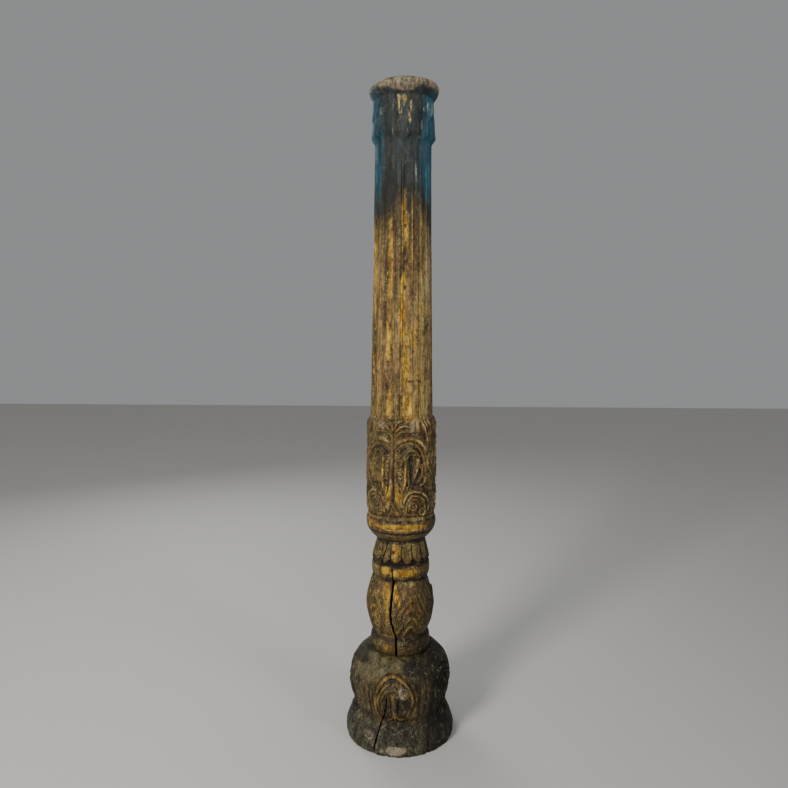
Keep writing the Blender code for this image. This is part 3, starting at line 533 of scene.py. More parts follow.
sleeve = {
    "bays": 5, "stemTurn": -12.5, "ground": 7.0, "cut": 2.8, "wander": 3.0, "spread": 1.3, "texture": 1.7,
    "filledFrom": -84,
    "ridges": [
        # stem, its pair of leaves and their foot
        (9, 8, 0.70, [(6.5, 250), (6.5, 236), (7, 190), (8, 120)]),
        (9, 22, 1.0, [(8, 128), (11, 100), (15, 76), (21, 46)]),
        (5, 8, 0.85, [(24, 104), (28, 84), (31, 60), (30, 44)]),
        (6, 5, 0.8, [(0, 46), (5, 34), (13, 21)]),
        (5, 4, 0.7, [(0, 31), (7, 21), (17, 15)]),
        # the arch, which comes down as a leg beside the joint
        (11, 9, 1.0, [(0, 224), (10, 234), (24, 244), (38, 250), (56, 252), (76, 246), (94, 231), (108, 210),
                      (115, 189), (119, 158)]),
        (6, 6, 0.85, [(5, 210), (18, 223), (33, 232), (51, 236), (70, 231), (86, 217), (98, 200),
                      (106, 180), (110, 150)]),
        (6, 4, 0.70, [(36, 172), (35, 188), (40, 203), (52, 212), (68, 212), (80, 203), (86, 188),
                      (84, 170)]),
        (4, 8, 0.60, [(66, 262), (88, 251), (106, 232), (118, 208), (125, 185), (129, 150), (128, 112)]),
        (7, 7, 0.7, [(136, 250), (135, 200), (136, 150), (137, 90)]),
        # what fills the arch: stalk, curl, leaves and flames
        (7, 6, 1.0, [(35, 190), (37, 165), (36, 140), (37, 118), (32, 96)]),
        (6, 4, 0.7, [(13, 205), (22, 200), (31, 198)]),
        (10, 4, 1.0, [(80, 186), (77, 168), (72, 150), (65, 132)]),
        (8, 3, 0.95, [(99, 170), (96, 150), (88, 132), (77, 120)]),
        (5, 3, 0.7, [(88, 196), (84, 180), (86, 162)]),
        (6, 4, 0.8, [(110, 130), (104, 114), (92, 106)]),
        (5, 4, 0.75, [(44, 190), (50, 199), (60, 201), (66, 194), (62, 187), (57, 191)]),
        (5, 3, 0.60, [(70, 200), (76, 192), (76, 182)]),
        (5, 3, 0.7, [(48, 126), (50, 112), (46, 100)]),
        # scroll: nested rings about two eyes
        (8, 6, 1.0, [(30, 30), (31, 50), (35, 66), (43, 80), (57, 88.5), (76, 89), (100, 79), (118, 59),
                     (124, 38), (118, 16)]),
        (6, 5, 0.9, [(39, 26), (40, 46), (46, 64), (58, 76), (74, 77), (93, 68), (106, 52), (110, 34),
                     (104, 14)]),
        (5, 4, 0.85, [(47, 30), (48, 50), (56, 64), (70, 67), (82, 60), (89, 49)]),
        (6, 4, 0.75, [(44, 20), (56, 17), (70, 20), (82, 15)]),
        (7, 5, 0.75, [(134, 80), (131, 56), (133, 30)]),
        # fan at the stem's head, then lobes and long leaves, all hanging from the top edge
        (8, 6, 1.0, [(4, 262), (9, 273), (19, 285), (33, 292), (48, 288)]),
        (7, 5, 0.95, [(4, 249), (11, 261), (23, 271), (38, 275), (53, 272)]),
        (7, 5, 0.9, [(2, 276), (6, 290), (14, 301), (26, 306)]),
        (18, 13, 0.95, [(61, 303), (58, 290), (62, 276)]),
        (16, 10, 0.9, [(80, 303), (78, 288), (81, 273)]),
        (8, 4, 0.95, [(92, 304), (102, 282), (111, 259), (120, 231)]),
        (7, 4, 0.9, [(105, 304), (114, 284), (123, 259), (130, 229)]),
        (7, 4, 0.85, [(120, 304), (128, 286), (134, 264)]),
        (8, 6, 0.85, [(36, 306), (46, 304), (56, 308)]),
        (9, 9, 0.85, [(-5, 4), (70, 4), (145, 4)]),
    ],
    "gouges": [
        (3.0, 3.0, 0.5, [(0, 300), (0.6, 266), (0, 232)]),
        (3.0, 5.0, 0.62, [(0, 232), (0.8, 180), (0, 120), (0, 56)]),
        (7, 6, 0.9, [(20, 205), (32, 217), (50, 224), (70, 220), (86, 206), (95, 186), (99, 168)]),
        (2.4, 2.8, 0.5, [(9, 118), (13, 92), (17, 70), (21, 54)]),
        (24, 9, 1.25, [(56, 198), (57, 164), (54, 122)]),
        (9, 6, 0.9, [(42, 110), (56, 114), (74, 112), (90, 108), (108, 98)]),
        (6, 5, 0.8, [(68, 196), (92, 186), (102, 150)]),
        (3.2, 3.2, 0.6, [(-2, 12), (70, 12), (140, 12)]),
        (3, 3, 0.6, [(69, 304), (68, 290), (71, 276)]),
    ],
    "knobs": [
        ((21, 182), 6.2, 0, 0.85), ((22, 169), 6.2, 0, 0.85), ((21, 156), 6.2, 0, 0.85),
        ((22, 143), 6.0, 0, 0.85),
        ((21, 131), 5.5, 0, 0.8),
        ((62, 45), 11, 5, 0.95), ((62, 45), 5, 0, 0.9), ((97, 28), 10, 5, 0.95), ((97, 28), 4.5, 0, 0.9),
    ],
    # places that keep more of their gold: across, up, half width, half height, amount
    "gold": [
        (17, 82, 13, 36, 0.95), (36, 145, 6, 46, 0.72), (5, 205, 9, 24, 0.5), (90, 147, 12, 22, 0.70),
        (20, 165, 6, 30, 0.62), (30, 246, 40, 9, 0.66), (86, 240, 26, 18, 0.58), (108, 205, 16, 36, 0.48),
        (62, 84, 40, 10, 0.50), (30, 282, 26, 16, 0.46),
    ],
}


def bayAngle(azimuth):
    # 0 at a leafy stem and 72 at a plain joint; the two bays at the front mirror each other
    pitch = 360 / sleeve["bays"]
    angle = (azimuth - sleeve["stemTurn"]) % 360
    angle = np.minimum(angle, 360 - angle)
    folded = np.where(angle > pitch, 2 * pitch - angle, angle)
    return np.where(angle > 2 * pitch, angle - 2 * pitch, folded)


def sleeveRelief(azimuth, z, points):
    s = sleeve
    swayAcross = latticeNoise(points, 26, 51) * s["wander"]
    swayUp = latticeNoise(points, 26, 52) * s["wander"]
    turned = azimuth + np.degrees(swayAcross * mm / logSizes["sleeveRadius"])
    across = np.radians(bayAngle(turned)) * logSizes["sleeveRadius"] / mm
    up = (z - sleeveZ) / mm + swayUp
    drawing = drawMap(s, (-2, -4), (142, 314))
    raised = readMap(drawing, "raised", across, up)
    cut = readMap(drawing, "cut", across, up)
    # the left-hand arch of the front is filled where the right-hand one has a hollow
    filled = soft((s["stemTurn"] - azimuth) / 4) * (azimuth > s["filledFrom"])
    filled = filled * soft((100 - across) / 10) * soft((across - 34) / 8)
    filled = filled * soft((up - 112) / 10) * soft((206 - up) / 8)
    cut = cut * (1 - 0.75 * filled)
    raised = np.maximum(raised, 0.55 * filled)
    worn = 1 - 0.40 * soft(latticeNoise(points, 17, 53) + 0.25)
    worn = worn - 0.40 * soft(latticeNoise(points, 70, 54) * 1.5)
    ground = s["ground"] * (1 - 0.55 * soft((across - 116) / 14))
    relief = (-ground * (1 - raised * worn) - s["cut"] * cut) * (1 - 0.45 * soft((np.abs(azimuth) - 50) / 30))
    rugged = latticeNoise(points, (120, 120, 90), 55) + 0.6 * latticeNoise(points, 210, 56)
    relief = relief + rugged * s["texture"]
    ends = soft((z - sleeveZ) / 0.004) * soft((shaftZ - 0.001 - z) / 0.008)
    face = raised * (1 - 0.7 * cut) * worn
    gold = 0.16 * face
    for middle, level, halfWidth, halfHeight, amount in s["gold"]:
        reach = np.hypot((across - middle) / halfWidth, (up - level) / halfHeight)
        gold = np.maximum(gold, amount * face * soft(1.5 - reach))
    # painted shade and grime: darker on the carved ground and in the cuts
    deep = np.clip(0.45 * (1 - raised * worn) ** 1.4 + 0.36 * cut, 0, 1)
    return relief * ends, face * 0.94, gold, deep


# bead, bell and bulb

bead = {"arcs": 10, "turn": 4.5, "arcRadius": 13, "arcWidth": 3.0, "depth": 1.6}


def beadRelief(azimuth, z, points):
    # small half-round domes over a plain gilded belly, darker about the domes, with painted shade on the
    # underside
    b = bead
    across = np.radians(nearest(azimuth + latticeNoise(points, 20, 66) * 1.5, b["turn"], b["arcs"]))
    across = np.abs(across) * logSizes["beadRadius"] / mm
    up = (z - beadZ) / mm - 12
    dome = np.clip(1 - (np.hypot(across, up + 4) / b["arcRadius"]) ** 2, 0, 1) ** 0.5 * (up > -4)
    rim = np.clip(1 - np.abs(np.hypot(across, up + 4) - b["arcRadius"] - 2) / b["arcWidth"], 0, 1) * (up > -4)
    dark = soft((up + 4) / 6) * (0.52 - 0.3 * dome) + rim * 0.3 + soft((-27 - up) / 7) * 0.9
    return b["depth"] * (dome - rim - 0.6 * soft((up + 4) / 6)), np.clip(dark, 0, 1)


bell = {"petals": 15, "turn": -9.4, "depth": 5.6, "undercut": 6.5, "knotTurn": -15.0, "knotUp": 34}


def bellRelief(azimuth, z, points):
    b = bell
    sway = latticeNoise(points, 30, 61) * 1.6
    share = np.abs(nearest(azimuth + sway, b["turn"], b["petals"])) / (180 / b["petals"])
    up = np.clip((z - bellZ) / logSizes["bell"], 0, 1)
    roundFace = 1 - np.sqrt(np.clip(1 - share ** 2.4, 0, 1))
    lift = 0.10 + 0.20 * share ** 2 + latticeNoise(points, 34, 62) * 0.06
    below = soft(1 - up / lift)
    fade = 0.35 + 0.65 * soft((1 - up) / 0.3)
    rib = 0.9 * np.clip(1 - np.abs(share - 0.45) / 0.14, 0, 1) * soft((1 - up) * 3)
    rib = rib + latticeNoise(points, (90, 90, 40), 63) * 0.7
    knot = np.zeros_like(z)
    across = np.radians(angleFrom(azimuth, b["knotTurn"])) * logSizes["bellGapRadius"] / mm
    knob(knot, across, (z - bellZ) / mm, (0, b["knotUp"]), 7, 0, 1)
    gap = (z < bellZ + 0.002) * 1.0
    relief = -b["depth"] * roundFace * fade - b["undercut"] * below * (0.25 + 0.75 * share) - rib - 2.5 * knot
    return relief * (1 - 0.6 * gap), np.clip(1 - roundFace * 1.3 - below, 0, 1), np.maximum(below, knot * 0.4)


bulb = {
    "leaves": 5, "turn": -15.6, "ground": 7.0, "cut": 2.8, "saw": 0.06, "shortLength": 146,
    "tallTeeth": 6, "shortTeeth": 5,
    "tallWidths": [(0, 27), (0.2, 40), (0.5, 44), (0.74, 38), (0.86, 27), (0.95, 12), (1.0, 0)],
    "shortWidths": [(0, 18), (0.3, 30), (0.6, 34), (0.82, 34), (0.93, 27), (1.0, 0)],
    "tall": {
        "ridges": [(17, 9, 1.0, [(6, 42 * k - 30), (15, 42 * k + 6), (27, 42 * k + 34), (36, 42 * k + 48)])
                   for k in range(5)] + [(12, 8, 1.0, [(0, 0), (0, 90), (0, 186)])],
        "gouges": [(2.4, 1.6, 0.8, [(9, 42 * k - 14), (17, 42 * k + 12), (29, 42 * k + 38)])
                   for k in range(5)],
    },
    "short": {
        "ridges": [(12, 10, 0.95, [(33, 30 * k - 6), (24, 30 * k + 18), (12, 30 * k + 34), (0, 30 * k + 40)])
                   for k in range(4)]
                  + [(9, 7, 1.0, [(0, 140), (9, 133), (17, 142), (26, 138), (32, 124), (34, 106)])],
        "gouges": [(2.6, 2.6, 0.8, [(0, 60), (0, 110), (0, 134)])],
    },
}


def leafMask(side, share, widths, saw, teeth):
    half = np.interp(share, [row[0] for row in widths], [row[1] for row in widths])
    half = half * (1 - saw * ((share * teeth) % 1))
    return soft((half - side) / 2.6) * (share < 1), half


def bulbRelief(azimuth, z, points):
    b = bulb
    height = logSizes["bulb"] / mm
    up = (z - bulbZ) / mm
    sway = latticeNoise(points, 24, 71) * 2.6
    up = up + latticeNoise(points, 20, 73) * 5 * soft(up / 30) * soft((height - up) / 20)
    leafPitch = 360 / b["leaves"]
    tallSide = np.abs(np.radians(nearest(azimuth + sway, b["turn"], b["leaves"])))
    tallSide = tallSide * logSizes["bulbRadius"] / mm
    shortSide = np.abs(np.radians(nearest(azimuth + sway, b["turn"] + leafPitch / 2, b["leaves"])))
    shortSide = shortSide * logSizes["bulbRadius"] / mm
    upTall = np.clip(up / (height * 1.01), 0, 1)
    upShort = np.clip(up / b["shortLength"], 0, 1)
    tall, tallHalf = leafMask(tallSide, upTall, b["tallWidths"], b["saw"], b["tallTeeth"])
    short, shortHalf = leafMask(shortSide, upShort, b["shortWidths"], b["saw"], b["shortTeeth"])
    tallMap = drawMap(b["tall"], (0, 0), (70, 190))
    shortMap = drawMap(b["short"], (0, 0), (70, 190))
    cut = readMap(tallMap, "cut", tallSide, up) * tall
    cut = cut + readMap(shortMap, "cut", shortSide, up) * short * (1 - tall)
    tallLeaf = tall * (0.45 + 0.55 * readMap(tallMap, "raised", tallSide, up))
    tallLeaf = tallLeaf * (1 - 0.25 * np.clip(tallSide / np.maximum(tallHalf, 1), 0, 1) ** 2)
    shortLeaf = short * (0.30 + 0.50 * readMap(shortMap, "raised", shortSide, up))
    shortLeaf = shortLeaf * (1 - 0.2 * np.clip(shortSide / np.maximum(shortHalf, 1), 0, 1) ** 2)
    leaves = np.maximum(tallLeaf, shortLeaf)
    relief = -b["ground"] * (1 - leaves) - b["cut"] * cut + latticeNoise(points, 38, 72) * 0.8
    relief = relief + latticeNoise(points, (120, 120, 70), 74) * 0.5
    ends = soft(up / 8) * soft((height - up) / 6)
    # painted shade and grime: darker in the cuts and on the ground between the leaves
    dark = np.clip(cut * 0.50 + (1 - leaves) * 0.50 * (tall + short > 0.1) + (1 - leaves) * 0.16, 0, 1)
    return relief * ends, leaves * (1 - 0.5 * cut), dark * ends


# medallions round the base: across from the middle, up from the floor

medallion = {
    "count": 5, "turn": -6.0, "ground": 7.0, "lift": 2.4, "cut": 2.8, "wander": 4.4, "spread": 1.3,
    "ridges": [
        (13, 9, 0.85, [(-36, 84), (-58, 104), (-74, 134), (-80, 168), (-72, 206), (-54, 234), (-31, 248),
                       (-8, 252), (18, 248), (42, 236), (58, 214), (67, 186), (68, 152), (60, 120),
                       (48, 92)]),
        (13, 9, 1.0, [(-48, 100), (-60, 128), (-65, 164), (-58, 198), (-42, 223), (-22, 235), (-6, 238),
                      (16, 233), (35, 220), (49, 199), (56, 170), (54, 140), (47, 116)]),
        (7, 5, 0.9, [(-41, 112), (-51, 136), (-54, 164), (-46, 192), (-30, 211), (-12, 220), (6, 218),
                     (24, 208), (38, 192), (44, 170)]),
        (8, 5, 0.75, [(-36, 128), (-44, 152), (-40, 178), (-27, 198), (-10, 207)]),
        (5, 4, 0.7, [(-10, 210), (-18, 196), (-20, 178), (-14, 160)]),
        (16, 12, 1.0, [(-1, 184), (2, 150), (2, 116)]),
        (9, 5, 1.0, [(2, 122), (-8, 106), (-26, 97)]),
        (9, 5, 1.0, [(2, 122), (3, 102), (2, 88)]),
        (9, 5, 1.0, [(2, 122), (14, 108), (28, 103)]),
        (6, 4, 1.0, [(40, 128), (33, 124), (28, 114), (34, 105), (42, 109), (39, 116)]),
        (6, 4, 0.85, [(50, 112), (46, 100), (52, 92)]),
        (8, 6, 0.75, [(-46, 82), (-26, 73), (-8, 66), (3, 60), (20, 69), (36, 78), (48, 92)]),
        (6, 5, 0.6, [(-30, 88), (-16, 80), (2, 76), (18, 82), (30, 92)]),
        (8, 7, 0.8, [(92, 248), (96, 214), (97, 176), (100, 134), (104, 98)]),
        (6, 5, 0.6, [(70, 230), (78, 200), (80, 160), (74, 124), (68, 100)]),
        (8, 7, 0.8, [(-92, 248), (-96, 214), (-97, 176), (-100, 134), (-104, 98)]),
        (5, 4, 0.6, [(88, 236), (89, 190), (90, 140), (84, 100)]),
        (5, 4, 0.6, [(-88, 236), (-90, 190), (-90, 140), (-84, 100)]),
    ],
    "gouges": [
        (9, 5, 0.7, [(-30, 186), (-33, 164), (-30, 138), (-24, 112)]),
        (6, 4, 1.0, [(-7, 206), (2, 209), (10, 204)]),
        (26, 18, 1.0, [(36, 168), (42, 150), (35, 132)]),
        (8, 6, 1.0, [(15, 176), (14, 150), (14, 126)]),
        (6, 5, 0.9, [(-13, 176), (-12, 150), (-10, 124)]),
    ],
    "knobs": [((-2, 196), 9, 5, 1.05)],
    "bossPlace": (25, 191), "bossRadius": 22, "bossHeight": 1.6,
}


def medallionRelief(azimuth, z, points):
    m = medallion
    swayAcross = latticeNoise(points, 16, 81) * m["wander"]
    swayUp = latticeNoise(points, 16, 82) * m["wander"]
    across = np.radians(nearest(azimuth, m["turn"], m["count"])) * baseSizes["potRadius"] / mm + swayAcross
    up = z / mm + swayUp
    drawing = drawMap(m, (-108, 40), (108, 280))
    raised = readMap(drawing, "raised", across, up)
    cut = readMap(drawing, "cut", across, up)
    pale = np.zeros_like(z)
    chipped = latticeNoise(points, 90, 85) * 4
    bossAcross, bossUp = m["bossPlace"]
    knob(pale, across + chipped, (up + chipped - bossUp) * 0.9, (bossAcross, 0), m["bossRadius"], 0, 1)
    worn = 1 - 0.35 * soft(latticeNoise(points, 13, 83) + 0.1)
    worn = worn - 0.25 * soft(latticeNoise(points, 50, 84) * 1.4)
    front = 1 - soft((np.abs(angleFrom(azimuth, m["turn"])) - 34) / 8)
    raised = np.maximum(raised * worn, m["bossHeight"] * pale * (0.4 + 0.6 * front))
    head = np.hypot(across, np.maximum(up - 172, 0))
    straight = np.abs(across + 5) + 82 * np.clip((172 - up) / 124, 0, 1) ** 2.4
    field = soft((88 - np.maximum(head, straight)) / 16)
    inside = -m["ground"] * (1 - raised) + m["lift"]
    outside = m["lift"] * 0.9 * raised
    relief = inside * field + outside * (1 - field) - m["cut"] * cut * field
    fade = soft((z - 0.045) / 0.020) * (z < seatZ - 0.004)
    # painted shade and grime: darker on the ground and in the cuts
    deep = np.clip(0.34 * (1 - raised) + cut * 0.6, 0, 1) * field
    face = np.minimum(raised, 1) * fade * (1 - 0.6 * cut) * (0.3 + 0.7 * front) * (1 - 0.6 * pale)
    return relief * fade, face, deep * fade, pale * fade * front, field * fade


# drying cracks: width and depth in millimetres, then azimuth, height and share of the width

cracks = {
    "long": (7.6, 28, [(-18.5, 0.561, 0.2), (-16.5, 0.545, 0.5), (-15.5, 0.528, 0.6), (-14.0, 0.512, 0.8),
                       (-15.6, 0.463, 1.0), (-16.8, 0.416, 0.95), (-15.6, 0.392, 0.85), (-13.2, 0.369, 0.8),
                       (-8.6, 0.334, 0.72), (-7.6, 0.300, 0.9), (-7.2, 0.260, 0.95)]),
    "bell": (4.6, 13, [(-31.8, 0.652, 0.3), (-33.2, 0.625, 0.9), (-33.6, 0.610, 0.7), (-37.5, 0.590, 1.0),
                       (-43.0, 0.562, 0.9), (-44.8, 0.545, 0.8), (-42.0, 0.522, 0.35)]),
    "baseFront": (5.0, 22, [(-14.6, 0.190, 0.15), (-14.9, 0.168, 0.55), (-16.3, 0.132, 0.7),
                            (-21.0, 0.102, 0.65), (-22.9, 0.088, 0.75), (-25.0, 0.050, 0.9),
                            (-26.6, 0.018, 1.0), (-26.8, -0.010, 1.0)]),
    "baseSide": (3.2, 12, [(36.0, 0.096, 0.2), (34.0, 0.070, 0.7), (31.5, 0.040, 0.9), (30.2, 0.010, 1.0),
                           (30.0, -0.010, 1.0)]),
}


def crackRelief(azimuth, z, radius, points, names):
    deepest = np.zeros_like(z)
    jitter = latticeNoise(points, (20, 20, 90), 91) * 0.9
    for name in names:
        width, depth, route = cracks[name]
        line = np.array(route)[::-1]
        middle = np.interp(z, line[:, 1], line[:, 0])
        share = np.interp(z, line[:, 1], line[:, 2], left=0, right=0)
        distance = np.abs(np.radians(angleFrom(azimuth, middle)) * radius / mm + jitter)
        wedge = np.clip(1 - distance / np.maximum(width / 2 * share, 0.05), 0, 1) * (share > 0)
        deepest = np.maximum(deepest, wedge * depth * (0.4 + 0.6 * share))
    return deepest


# knots, rot holes and dents: azimuth, height, width, height on the wood and depth in millimetres

dents = {
    "log": [
        (5.0, 1.508, 10, 28, 4.2), (9.0, 1.478, 9, 16, 3.2), (0.0, 1.464, 11, 20, 3.2),
        (5.4, 1.407, 12, 19, 4.4), (-3.7, 1.440, 7, 18, 2.4), (20.6, 1.223, 11, 28, 3.4),
        (12.0, 1.231, 9, 16, 2.8), (-26.4, 1.180, 9, 20, 3.8), (-30.7, 1.119, 12, 19, 3.8),
        (-30.0, 1.188, 7, 14, 2.6), (2.0, 1.620, 10, 16, 3.2), (5.2, 1.585, 9, 22, 3.4),
        (-7.0, 1.105, 7, 16, 2.2), (-1.0, 1.083, 12, 12, 2.4), (46.0, 1.300, 9, 30, 2.2),
        (-52.0, 1.420, 9, 26, 2.2), (118.0, 1.360, 12, 34, 3.2), (170.0, 1.560, 11, 22, 3.2),
        (-140.0, 1.220, 12, 28, 3.4), (95.0, 1.130, 9, 18, 2.4), (30.0, 0.312, 13, 12, 3.8),
        (14.0, 0.306, 22, 9, 3.6), (40.0, 0.300, 10, 14, 3.0), (-150.0, 0.420, 14, 24, 3.0),
        (-17.0, 0.548, 7, 10, 4.2), (62.0, 0.545, 12, 9, 2.2), (48.0, 0.905, 10, 22, 2.4),
        (36.0, 0.860, 16, 20, 1.8),
    ],
    "base": [
        (-3.0, 0.020, 62, 22, 3.2), (22.0, 0.034, 30, 16, 2.4), (-58.0, 0.030, 34, 22, 2.6),
        (70.0, 0.026, 40, 20, 3.0), (130.0, 0.030, 44, 26, 3.4), (-140.0, 0.034, 36, 22, 3.0),
        (-42.0, 0.236, 30, 20, 1.6), (40.0, 0.252, 34, 16, 1.6),
    ],
}


def dentRelief(azimuth, z, radius, points, name):
    total = np.zeros_like(z)
    for middle, height, width, tall, depth in dents[name]:
        near = np.flatnonzero((np.abs(z - height) < tall * mm) & (np.abs(angleFrom(azimuth, middle)) < 40))
        if not len(near):
            continue
        across = np.radians(angleFrom(azimuth[near], middle)) * radius[near] / mm
        up = (z[near] - height) / mm
        ragged = latticeNoise(points[near], 110, 95) * 0.45 + latticeNoise(points[near], 260, 96) * 0.30
        distance = np.sqrt((across / width * 2) ** 2 + (up / tall * 2) ** 2) + ragged
        total[near] = np.maximum(total[near], depth * np.clip(1.15 - distance, 0, 1) ** 0.7)
    return total


def grainRelief(points):
    # tool marks, old wear and fine checks that run with the grain, in millimetres
    wide = latticeNoise(points, (14, 14, 6), 101) * 0.55
    tool = latticeNoise(points, (52, 52, 20), 102) * 0.38
    streak = latticeNoise(points, (230, 230, 9), 103) * 0.30
    check = np.clip(latticeNoise(points, (150, 150, 5), 104) - 0.52, 0, 1) * 4.5
    return wide + tool + streak - check


# patches of finish: azimuth, height, half width in degrees, half height in metres, amount

finishPatches = {
    "gold": [
        (2, 0.688, 40, 0.011, 0.86), (-34, 0.690, 12, 0.007, 0.7), (-64, 0.690, 16, 0.016, 0.5),
        (-13, 0.606, 9, 0.034, 0.72), (2, 0.600, 5, 0.03, 0.45), (24, 0.606, 5, 0.03, 0.40),
        (-30, 0.546, 11, 0.014, 0.72), (6, 0.541, 34, 0.011, 0.80), (-29, 0.486, 7, 0.024, 0.80),
        (-24, 0.470, 5, 0.036, 0.66), (-26, 0.42, 8, 0.05, 0.42), (-10.5, 0.490, 4, 0.018, 0.80),
        (-6.5, 0.468, 4, 0.020, 0.78), (-3, 0.45, 3, 0.014, 0.55), (-21, 0.302, 13, 0.013, 0.66),
        (12, 0.296, 24, 0.010, 0.26), (30, 0.425, 16, 0.05, 0.40), (-50, 0.42, 12, 0.06, 0.44),
        (-8.5, 1.942, 5.0, 0.010, 0.80), (2.5, 1.942, 5.0, 0.013, 0.82), (-7.5, 1.920, 1.8, 0.022, 0.60),
        (1.5, 1.915, 1.6, 0.020, 0.55), (14.5, 1.918, 2.6, 0.018, 0.52), (12.0, 1.890, 2.8, 0.020, 0.50),
        (12, 1.66, 3, 0.05, 0.3), (-12, 1.78, 4, 0.06, 0.30), (150, 0.690, 60, 0.014, 0.8),
        (120, 0.545, 50, 0.016, 0.7), (-120, 0.544, 40, 0.016, 0.6), (130, 0.47, 20, 0.05, 0.7),
        (-130, 0.46, 22, 0.05, 0.6), (170, 0.61, 30, 0.03, 0.6), (100, 1.93, 6, 0.02, 0.7),
    ],
    "bare": [(-35, 1.000, 8, 0.012, 0.6), (20, 0.992, 6, 0.020, 0.6), (-30, 0.965, 6, 0.012, 0.35),
             (46, 0.93, 6, 0.016, 0.4), (14, 0.935, 8, 0.006, 0.45), (-44, 0.775, 8, 0.02, 0.3)],
    # rubbed wood, and painted light that brightens the shaft's right-hand side
    "rubbedAndLit": [(30, 1.14, 34, 0.15, 0.86), (24, 1.34, 22, 0.10, 0.66), (-52, 1.20, 20, 0.20, 0.40),
               (-48, 1.50, 16, 0.12, 0.40), (-68, 1.46, 14, 0.12, 0.60), (58, 1.40, 18, 0.30, 0.60),
               (-8, 1.25, 10, 0.12, 0.45), (140, 1.25, 50, 0.2, 0.45), (-140, 1.35, 40, 0.2, 0.40)],
    "shade": [(-40, 1.60, 12, 0.060, 0.66), (-14, 1.585, 8, 0.080, 0.72), (25, 1.565, 9, 0.10, 0.70),
              (60, 1.58, 13, 0.10, 0.55), (-14, 1.40, 4, 0.06, 0.5), (-38, 1.34, 4, 0.08, 0.5),
              (-30, 1.46, 6, 0.10, 0.90), (22, 1.45, 9, 0.10, 0.50), (3, 1.49, 9, 0.045, 0.42)],
    "straw": [
        (40, 1.53, 4.0, 0.11, 0.62), (43, 1.34, 5.0, 0.11, 0.86), (42, 1.22, 4.0, 0.05, 0.66),
        (44, 1.09, 4.6, 0.08, 0.80), (14.5, 1.918, 3.2, 0.020, 0.74), (11.0, 1.886, 2.8, 0.022, 0.68),
        (-8, 1.90, 5, 0.020, 0.50), (34, 1.66, 4.0, 0.04, 0.55), (17, 0.505, 12, 0.012, 0.40),
        (-19, 1.78, 2.0, 0.04, 0.40),
    ],
    "pale": [
        (40, 1.925, 2.2, 0.014, 0.62), (-19, 1.848, 1.6, 0.008, 0.60), (-17, 0.590, 2.4, 0.004, 0.9),
        (36, 1.87, 2.0, 0.02, 0.30), (60, 1.926, 12, 0.024, 0.42), (-42, 1.92, 8, 0.02, 0.30),
        (-3, 1.79, 7, 0.008, 0.30), (26, 1.74, 2.0, 0.05, 0.40), (62, 1.45, 12, 0.12, 0.20),
    ],
    "baseDust": [(-42, 0.222, 24, 0.035, 0.6), (-66, 0.18, 20, 0.06, 0.5), (-30, 0.07, 30, 0.03, 0.35)],
    "baseStain": [(22, 0.256, 20, 0.020, 0.85), (-75, 0.262, 26, 0.018, 0.8), (40, 0.235, 22, 0.03, 0.6),
                  (-12, 0.055, 50, 0.018, 0.5), (20, 0.09, 16, 0.02, 0.5), (-90, 0.06, 30, 0.05, 0.5),
                  (-165, 0.20, 34, 0.06, 0.6), (150, 0.06, 40, 0.04, 0.5)],
    "basePale": [(-5, 0.019, 10, 0.013, 0.76), (3, 0.024, 5, 0.007, 0.64), (-15, 0.014, 6, 0.006, 0.5),
                 (-36, 0.05, 8, 0.012, 0.3)],
}


def patchField(azimuth, z, name):
    total = np.zeros_like(z)
    for middle, height, halfWidth, halfHeight, amount in finishPatches[name]:
        reach = np.hypot(angleFrom(azimuth, middle) / halfWidth, (z - height) / halfHeight)
        total = np.maximum(total, amount * soft((1.35 - reach) / 0.6))
    return total


def inZone(z, low, high):
    return np.flatnonzero((z > low) & (z < high))


def within(z, low, high):
    return ((z > low) & (z < high)) * 1.0


# where the log's gold ends and its slate and blue begin, in metres and degrees

tones = {
    "middle": -2, "fadeHeight": 1.640, "fadeReach": 0.13, "fadeLeft": 0.055, "fadeRight": 0.065,
    "fadeBehind": 0.03, "ragged": 0.045, "finelyRagged": 0.025, "bandHeight": 1.685, "bandReach": 0.05,
    "tealSide": 21, "tealSpread": 44, "tealHeight": 1.585, "tealReach": 0.15,
}


